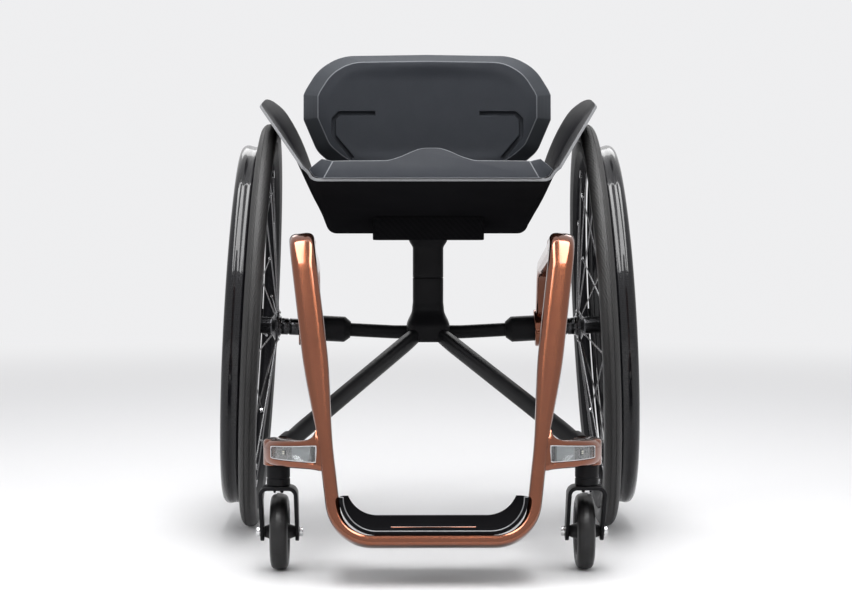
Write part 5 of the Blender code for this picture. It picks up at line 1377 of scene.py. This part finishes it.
def shellSide(station):
    # one station's outer line: a rounded floor corner, then a curve up to the guard's edge
    y, edge = station.x, Vector((station.y, station.z))
    knee = Vector(floorAt(y))
    width, height = edge - knee
    lean = Vector((shell["lean"][0] * width, shell["lean"][1] * height))
    turn = math.atan2(lean.y, lean.x)
    tangent = min(shell["corner"] * math.tan(turn / 2), 0.4 * (edge - knee).length)
    radius = tangent / math.tan(turn / 2)
    bend = arc((knee.x - tangent, knee.y + radius), radius, -90, -90 + math.degrees(turn), 6)
    line = [Vector(p) for p in bend]
    start = line[-1]
    first = knee + lean.normalized() * max(lean.length, 1.2 * tangent)
    second = knee + Vector((shell["belly"][0] * width, shell["belly"][1] * height))
    for i in range(1, shell["sideSteps"] + 1):
        line.append(curveSpot(start, first, second, edge, i / shell["sideSteps"]))
    return line


def makeShell():
    rows = []
    for station in guardLine:
        y, count = station.x, shell["floorSteps"]
        line = shellSide(station)
        right = [Vector((line[0].x * i / count, axleY + y, floorZ(y))) for i in range(count)]
        right += [Vector((p.x, axleY + y, p.y)) for p in line]
        rows.append([acrossX(p) for p in reversed(right[1:])] + right)
    bm = loftedShape(rows, capped=False, closed=False)
    bmesh.ops.recalc_face_normals(bm, faces=bm.faces)
    bm.faces.ensure_lookup_table()
    if min(bm.faces, key=lambda f: f.calc_center_median().z).normal.z > 0:
        bmesh.ops.reverse_faces(bm, faces=bm.faces)
    work = meshObject("work", bm, (carbon, edgeHighlightTone))
    wall = work.modifiers.new("wall", "SOLIDIFY")
    wall.thickness = shell["wall"]
    wall.offset = -1
    wall.use_even_offset = True
    # the wall's rim faces take the pale edge tone, a painted highlight
    wall.material_offset_rim = 1
    soft = work.modifiers.new("soft", "BEVEL")
    soft.width = shell["soft"]
    soft.segments = 3
    soft.limit_method = "ANGLE"
    soft.angle_limit = math.radians(50)
    bm = evaluated(work)
    for face in bm.faces:
        if face.normal.z < -0.35 and face.material_index == 0:
            # painted shade: the down-facing faces take the carbon without any reflection, so they render dark
            face.material_index = 2  # the underside
    newPiece("seat_bucket", bm, "seat", [carbon, edgeHighlightTone, dull], "seat_shell", sharp=45,
             turned=False)


makeColumn()
makeShell()
print("seat shell is ready")


# seat cushion

# seam is the width of the rounding along the creases, whose faces take the pale crease tone as a painted
# highlight
cushion = {"front": -0.352, "rear": 0.052, "height": (0.025, 0.031), "half": 0.170, "clear": 0.0016,
           "shoulder": 0.149, "shoulderRise": 0.0054, "crease": 0.1346, "pommel": 0.0216,
           "pommelHalf": 0.0655, "pommelLength": 0.190, "rings": 66, "pressure": 4.0, "swell": 0.0030,
           "lean": math.radians(28), "turn": math.radians(35), "frontCrease": (0.1325, 0.1460),
           "seam": 0.0009}
runs = (12, 2, 4, 5, 3, 9, 10)  # divisions of each stretch round half a section


def stationAt(y):
    for low, high in zip(guardLine, guardLine[1:]):
        if y <= high.x:
            return low.lerp(high, max(0.0, (y - low.x) / (high.x - low.x)))
    return guardLine[-1]


def roomInside(line, z, widest):
    # how wide the cushion may be at a height inside the shell's wall
    gap = shell["wall"] + cushion["clear"]
    moved = [point + Vector((-along.y, along.x)) * gap for point, along in zip(line, alongEach(line))]
    if z >= line[-1].y + gap:
        return widest
    for low, high in zip(moved, moved[1:]):
        if z <= high.y:
            return min(widest, between(low.x, high.x, max(0.0, (z - low.y) / (high.y - low.y))))
    return min(widest, moved[-1].x)


def cushionRing(y, inset=0.0):
    share = (y - cushion["front"]) / (cushion["rear"] - cushion["front"])
    line = shellSide(stationAt(y))
    bottom = floorZ(max(y, shell["front"])) + onFloor
    height = between(*cushion["height"], share)
    top = bottom + height
    pommel = cushion["pommel"] * (1 - eased((y - cushion["front"]) / cushion["pommelLength"]))
    widest = cushion["half"] * (1 - 0.06 * share)
    tipZ, shoulderZ, cornerZ = bottom + height * 0.65, top + cushion["shoulderRise"], bottom + 0.0038
    shoulder = min(cushion["shoulder"], roomInside(line, shoulderZ, widest) - 0.006)
    controls = [
        (0.0, bottom), (min(cushion["shoulder"] + 0.001, roomInside(line, bottom, widest) - 0.001), bottom),
        (roomInside(line, cornerZ, widest - 0.0076), cornerZ), (roomInside(line, tipZ, widest), tipZ),
        (shoulder, shoulderZ), (min(cushion["crease"], shoulder - 0.012), top),
        (cushion["pommelHalf"], top - 0.001 * share), (0.0, top),
    ]
    half = []
    for (x0, z0), (x1, z1), count in zip(controls, controls[1:], runs):
        for i in range(count):
            x, z = between((x0, z0), (x1, z1), i / count)
            if x1 == 0.0 and z1 == top:
                z += pommel * (0.5 + 0.5 * math.cos(math.pi * x / x0))
            half.append((x, z))
    half.append((0.0, top + pommel))
    middle = (bottom + top) / 2
    return [Vector((x * (1 - inset * 3), axleY + y, between(z, middle, inset * 10)))
            for x, z in half + [(-x, z) for x, z in reversed(half[1:-1])]]


def puffed(bm, held, pressure, swell, frames=20):
    # air pressure between seams that stay where they are; a point moves no further than swell
    work = meshObject("work", bm)
    seams = work.vertex_groups.new(name="seams")
    seams.add(held, 1.0, "REPLACE")
    cloth = work.modifiers.new("air", "CLOTH")
    cloth.settings.quality = 5
    cloth.settings.mass = 0.3
    cloth.settings.use_pressure = True
    cloth.settings.uniform_pressure_force = pressure
    cloth.settings.vertex_group_mass = "seams"
    cloth.settings.effector_weights.gravity = 0
    for number in range(1, frames + 1):
        bpy.context.scene.frame_set(number)
    blown, result = bmesh.new(), bmesh.new()
    blown.from_object(work, bpy.context.evaluated_depsgraph_get())
    result.from_mesh(work.data)
    for vert, other in zip(result.verts, blown.verts):
        step = other.co - vert.co
        if step.length > swell:
            step *= swell / step.length
        vert.co += step
    blown.free()
    bpy.data.objects.remove(work)
    bpy.context.scene.frame_set(1)
    return result


def creased(bm, count, rings, lines):
    # sharp rings and lines of a lofted shape whose rings have count points
    layer = bm.edges.layers.float.new("crease_edge")
    bm.verts.index_update()
    for edge in bm.edges:
        (ringA, lineA), (ringB, lineB) = (divmod(v.index, count) for v in edge.verts)
        if (ringA == ringB and ringA in rings) or (lineA == lineB and lineA in lines):
            edge[layer] = 1.0


def slicedOff(bm, point, normal):
    # what lies beyond a plane goes, and a flat face closes the cut
    geom = list(bm.verts) + list(bm.edges) + list(bm.faces)
    made = bmesh.ops.bisect_plane(bm, geom=geom, dist=1e-6, plane_co=point, plane_no=normal, clear_outer=True)
    cut = [e for e in made["geom_cut"] if isinstance(e, bmesh.types.BMEdge)]
    bmesh.ops.edgeloop_fill(bm, edges=cut)


def subdivided(bm):
    work = looseObject(bm)
    finer = work.modifiers.new("finer", "SUBSURF")
    finer.levels = finer.render_levels = 1
    return evaluated(work)


def makeCushion():
    first, last = cushion["front"], cushion["rear"] - 0.010
    rings = []
    for i in range(cushion["rings"] + 1):
        rings.append(cushionRing(between(first, last, i / cushion["rings"])))
    rings += [cushionRing(cushion["rear"] - 0.003, 0.005), cushionRing(cushion["rear"], 0.02)]
    count = len(rings[0])
    bm = loftedShape(rings)
    bmesh.ops.recalc_face_normals(bm, faces=bm.faces)
    marks = [sum(runs[:k]) for k in range(1, 6)]
    lines = set(marks) | {count - m for m in marks}
    bottom = set(range(runs[0] + 1)) | {count - i for i in range(1, runs[0] + 1)}
    held = [r * count + i for r in range(len(rings)) for i in range(count)
            if i in lines or i in bottom or r in (0, 1, len(rings) - 3, len(rings) - 2, len(rings) - 1)]
    bm = puffed(bm, held, cushion["pressure"], cushion["swell"])
    creased(bm, count, {0}, lines)
    bm = subdivided(bm)
    low, high = rings[0][0].z, rings[0][0].z + cushion["height"][0]
    front = axleY + cushion["front"]
    lean, turn = cushion["lean"], cushion["turn"]
    slicedOff(bm, (0, front, low), (0, -math.cos(lean), math.sin(lean)))
    for side in (-1, 1):
        upper, lower = cushion["frontCrease"]
        top = Vector((side * upper, front + (high - low) * math.tan(lean), high))
        foot = Vector((side * lower, front, low))
        normal = (foot - top).cross(Vector((side * math.cos(turn), math.sin(turn), 0)))
        if normal.y > 0:
            normal.negate()
        slicedOff(bm, foot, normal)
    bmesh.ops.remove_doubles(bm, verts=bm.verts, dist=0.00005)
    # the roundings along the creases take the pale tone, a painted highlight
    softened(bm, cushion["seam"], 13, tone=1, clamped=False, before=axleY + cushion["rear"] - 0.020)
    piece = newPiece("seat_pad", bm, "seat", [foam, creaseHighlightTone], "seat_cushion", sharp=30)


makeCushion()
print("seat cushion is ready")


# backrest

# seam is the width of the rounding along the creases, whose faces take the pale crease tone as a painted
# highlight
back = {"hinge": (0.121, 0.530), "recline": math.radians(5), "padRear": 0.027, "padRim": 0.040,
        "padFront": 0.061, "shellWall": 0.012, "shellInset": 0.004, "sideInset": 0.0225, "topInset": 0.0125,
        "dish": 0.0045, "dishHalf": 0.166, "spine": 0.105, "acrossCount": 36, "sidePiece": 0.007,
        "innerRings": 12, "swell": 0.0025, "seam": 0.0010}
# half outline about the hinge: X, height, rounding
backOutline = [(0.000, -0.014, 0), (0.118, -0.011, 0.040), (0.147, 0.008, 0.020), (0.168, 0.026, 0.040),
               (0.1885, 0.074, 0.005), (0.1885, 0.112, 0.005), (0.185, 0.120, 0.020), (0.166, 0.151, 0.070),
               (0.131, 0.1715, 0.074), (0.000, 0.1735, 0)]
channel = {"line": [(0.0790, 0.0815), (0.1330, 0.0815), (0.1420, 0.0730), (0.1420, 0.0470), (0.1135, 0.0130)],
           "radii": [0.004, 0.004, 0.006], "width": 0.0070, "depth": 0.0042}
hinge = {"x": 0.110, "eye": 0.011, "pin": 0.004, "head": 0.0065, "width": 0.013, "cheek": 0.006,
         "footFront": 0.057, "footRear": 0.0995, "footThick": 0.005}
backPlace = (Matrix.Translation((0, axleY + back["hinge"][0], back["hinge"][1]))
             @ Matrix.Rotation(-back["recline"], 4, "X"))


def backLoop():
    # the smooth outline, sampled so that points above and below the spine share their X
    right = roundedLine(backOutline, closed=False, steps=10)
    low = [p for p in right if p.y < 0.06]
    high = [p for p in right if p.y > 0.06]

    def heightAt(points, x):
        ordered = sorted(points, key=lambda p: p.x)
        for first, second in zip(ordered, ordered[1:]):
            if x <= second.x:
                return between(first.y, second.y, max(0.0, x - first.x) / max(1e-9, second.x - first.x))
        return ordered[-1].y

    spine, count = back["spine"], back["acrossCount"]
    xs = [spine * i / count for i in range(count + 1)]
    bottom = [Vector((x, heightAt([p for p in low if p.x < 0.15], x))) for x in xs]
    top = [Vector((x, heightAt([p for p in high if p.x < 0.17], x))) for x in reversed(xs)]
    flank = [bottom[-1]] + [p for p in right if p.x > spine] + [top[0]]
    sides = []
    for first, second in zip(flank, flank[1:]):
        pieces = max(1, math.ceil((second - first).length / back["sidePiece"]))
        sides += [first.lerp(second, i / pieces) for i in range(pieces)]
    sides = sides[1:]
    half = bottom + sides + top
    return half + [acrossX(p) for p in reversed(half[1:-1])]


backPoints = backLoop()
backMiddle = (backOutline[0][1] + backOutline[-1][1]) / 2
backTall = backOutline[-1][1] - backOutline[0][1]
backWide = max(x for x, z, radius in backOutline)


def insetLoop(sideInset, topInset):
    narrower, lower = 1 - sideInset / backWide, 1 - 2 * topInset / backTall
    return [Vector((p.x * narrower, backMiddle + (p.y - backMiddle) * lower)) for p in backPoints]


def backRing(depth, sideInset, topInset):
    return [Vector((p.x, -depth, p.y)) for p in insetLoop(sideInset, topInset)]


def panelDepth(x, share=1.0):
    # the dish eases in over the first part of the way from the border
    dish = back["dish"] * math.cos(min(1.0, abs(x) / back["dishHalf"]) * math.pi / 2)
    return back["padFront"] - dish * eased(3 * share)


def makePad():
    side, top = back["sideInset"], back["topInset"]
    stages = [(back["padRear"], 0.003, 0.002), (back["padRear"] + 0.003, 0.0, 0.0),
              (back["padRear"] + 0.008, 0.0, 0.0), (back["padRim"], 0.0, 0.0)]
    for k in range(1, 6):
        share = k / 5
        stages.append((between(back["padRim"], back["padFront"], share), side * share, top * share))
    rings = [backRing(*stage) for stage in stages]
    face = insetLoop(side, top)
    inner, spine = back["innerRings"], back["spine"] * 0.99
    for k in range(1, inner + 1):
        share = k / inner
        spots = [p.lerp(Vector((max(-spine, min(spine, p.x)), backMiddle)), share) for p in face]
        rings.append([Vector((p.x, -panelDepth(p.x, share), p.y)) for p in spots])
    count = len(face)
    bm = loftedShape(rings, capped=False)
    bmesh.ops.remove_doubles(bm, verts=bm.verts, dist=0.00005)
    bmesh.ops.recalc_face_normals(bm, faces=bm.faces)
    held = [r * count + i for r in range(len(stages)) for i in range(count)]
    bm = puffed(bm, held, cushion["pressure"], back["swell"])
    bm.verts.index_update()
    # the rim's facets take the paler ribbed skin, whose paler tone is painted light
    for face in bm.faces:
        if all(3 <= v.index // count < len(stages) for v in face.verts):
            face.material_index = 2
    creased(bm, count, {0, 1, 3, len(stages) - 1}, set())
    bm = subdivided(bm)
    bmesh.ops.holes_fill(bm, edges=[e for e in bm.edges if e.is_boundary])
    # the roundings along the creases take the pale tone, a painted highlight
    softened(bm, back["seam"], 13, tone=1)
    grooves = []
    for side in (-1, 1):
        path = bentPath([Vector((side * x, 0, z)) for x, z in channel["line"]], channel["radii"], 6, 0.004)
        for p in path:
            p.y = -panelDepth(p.x)
        sizes = [(channel["width"], 2 * channel["depth"])] * len(path)
        grooves.append(loftedShape(sweptRings(path, sizes, (0, -1, 0), 0, 20, 4)))
    bm = cutAndJoined(bm, [("DIFFERENCE", gathered(grooves))])
    softened(bm, 0.0009, 50)
    bm.transform(backPlace)
    piece = newPiece("back_pad", bm, "backrest", [foam, creaseHighlightTone, ribbedRimPaintedLight()], "backrest_pad",
                     sharp=30)


def makeBackShell():
    front, wall, inset = back["padRear"] - fit, back["shellWall"], back["shellInset"]
    stages = [(front, inset + 0.0010, inset + 0.0010), (front - 0.0012, inset, inset)]
    for k in range(9):
        angle = math.pi / 2 * k / 8
        stages.append((front - wall * (0.35 + 0.65 * math.sin(angle)), inset + 0.026 * (1 - math.cos(angle)),
                       inset + 0.016 * (1 - math.cos(angle))))
    rings = [backRing(*stage) for stage in stages]
    cheeks = []
    for side in (-1, 1):
        for edge in (-1, 1):
            near = side * hinge["x"] + edge * (hinge["width"] / 2 + fit)
            outline = [(-front + 0.008, hinge["eye"] + 0.010)] + arc((0, 0), hinge["eye"], 60, -110, 16)
            outline += [(-front + 0.008, -hinge["eye"] * 0.6)]
            cheek = prismShape(outline, near, near + edge * hinge["cheek"], "X")
            cheeks.append(softened(cheek, 0.0009, 50))
    bm = cutAndJoined(loftedShape(rings), [("UNION", gathered(cheeks))])
    bm.transform(backPlace)
    newPiece("back_shell", bm, "backrest", carbon, "backrest_shell", sharp=40)


def makeBracket(side, word):
    hingeY, hingeZ = back["hinge"]
    front, rear, thick = hinge["footFront"], hinge["footRear"], hinge["footThick"]
    footFront, footRear = front - hingeY, rear - hingeY
    lowFront, lowRear = (floorZ(y) + onFloor - hingeZ for y in (front, rear))
    line = [(y, z, 0) for y, z in arc((0, 0), hinge["eye"], -38, 218, 24)]
    line += [(-0.0065, -0.032, 0.010), (-0.030, -0.068, 0.012), (-0.040, lowFront + thick, 0.006),
             (footFront, lowFront + thick, 0.001), (footFront, lowFront, 0.0005), (footRear, lowRear, 0.0005),
             (footRear, lowRear + thick, 0.001), (0.0085, -0.040, 0.012)]
    place = Matrix.Translation((0, axleY + hingeY, hingeZ))
    low = side * hinge["x"] - hinge["width"] / 2
    bm = softened(prismShape(roundedLine(line), low, low + hinge["width"], "X"), 0.0010, 60)
    bm.transform(place)
    newPiece("back_bracket_" + word, bm, "seat", black, "backrest_bracket_" + word, sharp=34)
    reach = hinge["width"] / 2 + hinge["cheek"] + 2 * fit
    profile = boltLine(reach, 0.003, 0.0018, 0.0020, hinge["head"], 0.0010, hinge["pin"])
    pinPlace = place @ Matrix.Translation((side * hinge["x"], 0, 0))
    newPiece("back_pin_" + word, spunShape(profile, 36, pinPlace), "seat", steel,
             "backrest_hinge_pin_" + word)


makePad()
makeBackShell()
for side, word in sideWords:
    makeBracket(side, word)
print("backrest is ready")

# the bearings are the CAD's own solids, in bright steel
for side, word in sideWords:
    for name in ("hub_bearings_", "stem_bearing_"):
        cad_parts[name + word].data.materials[0] = steel
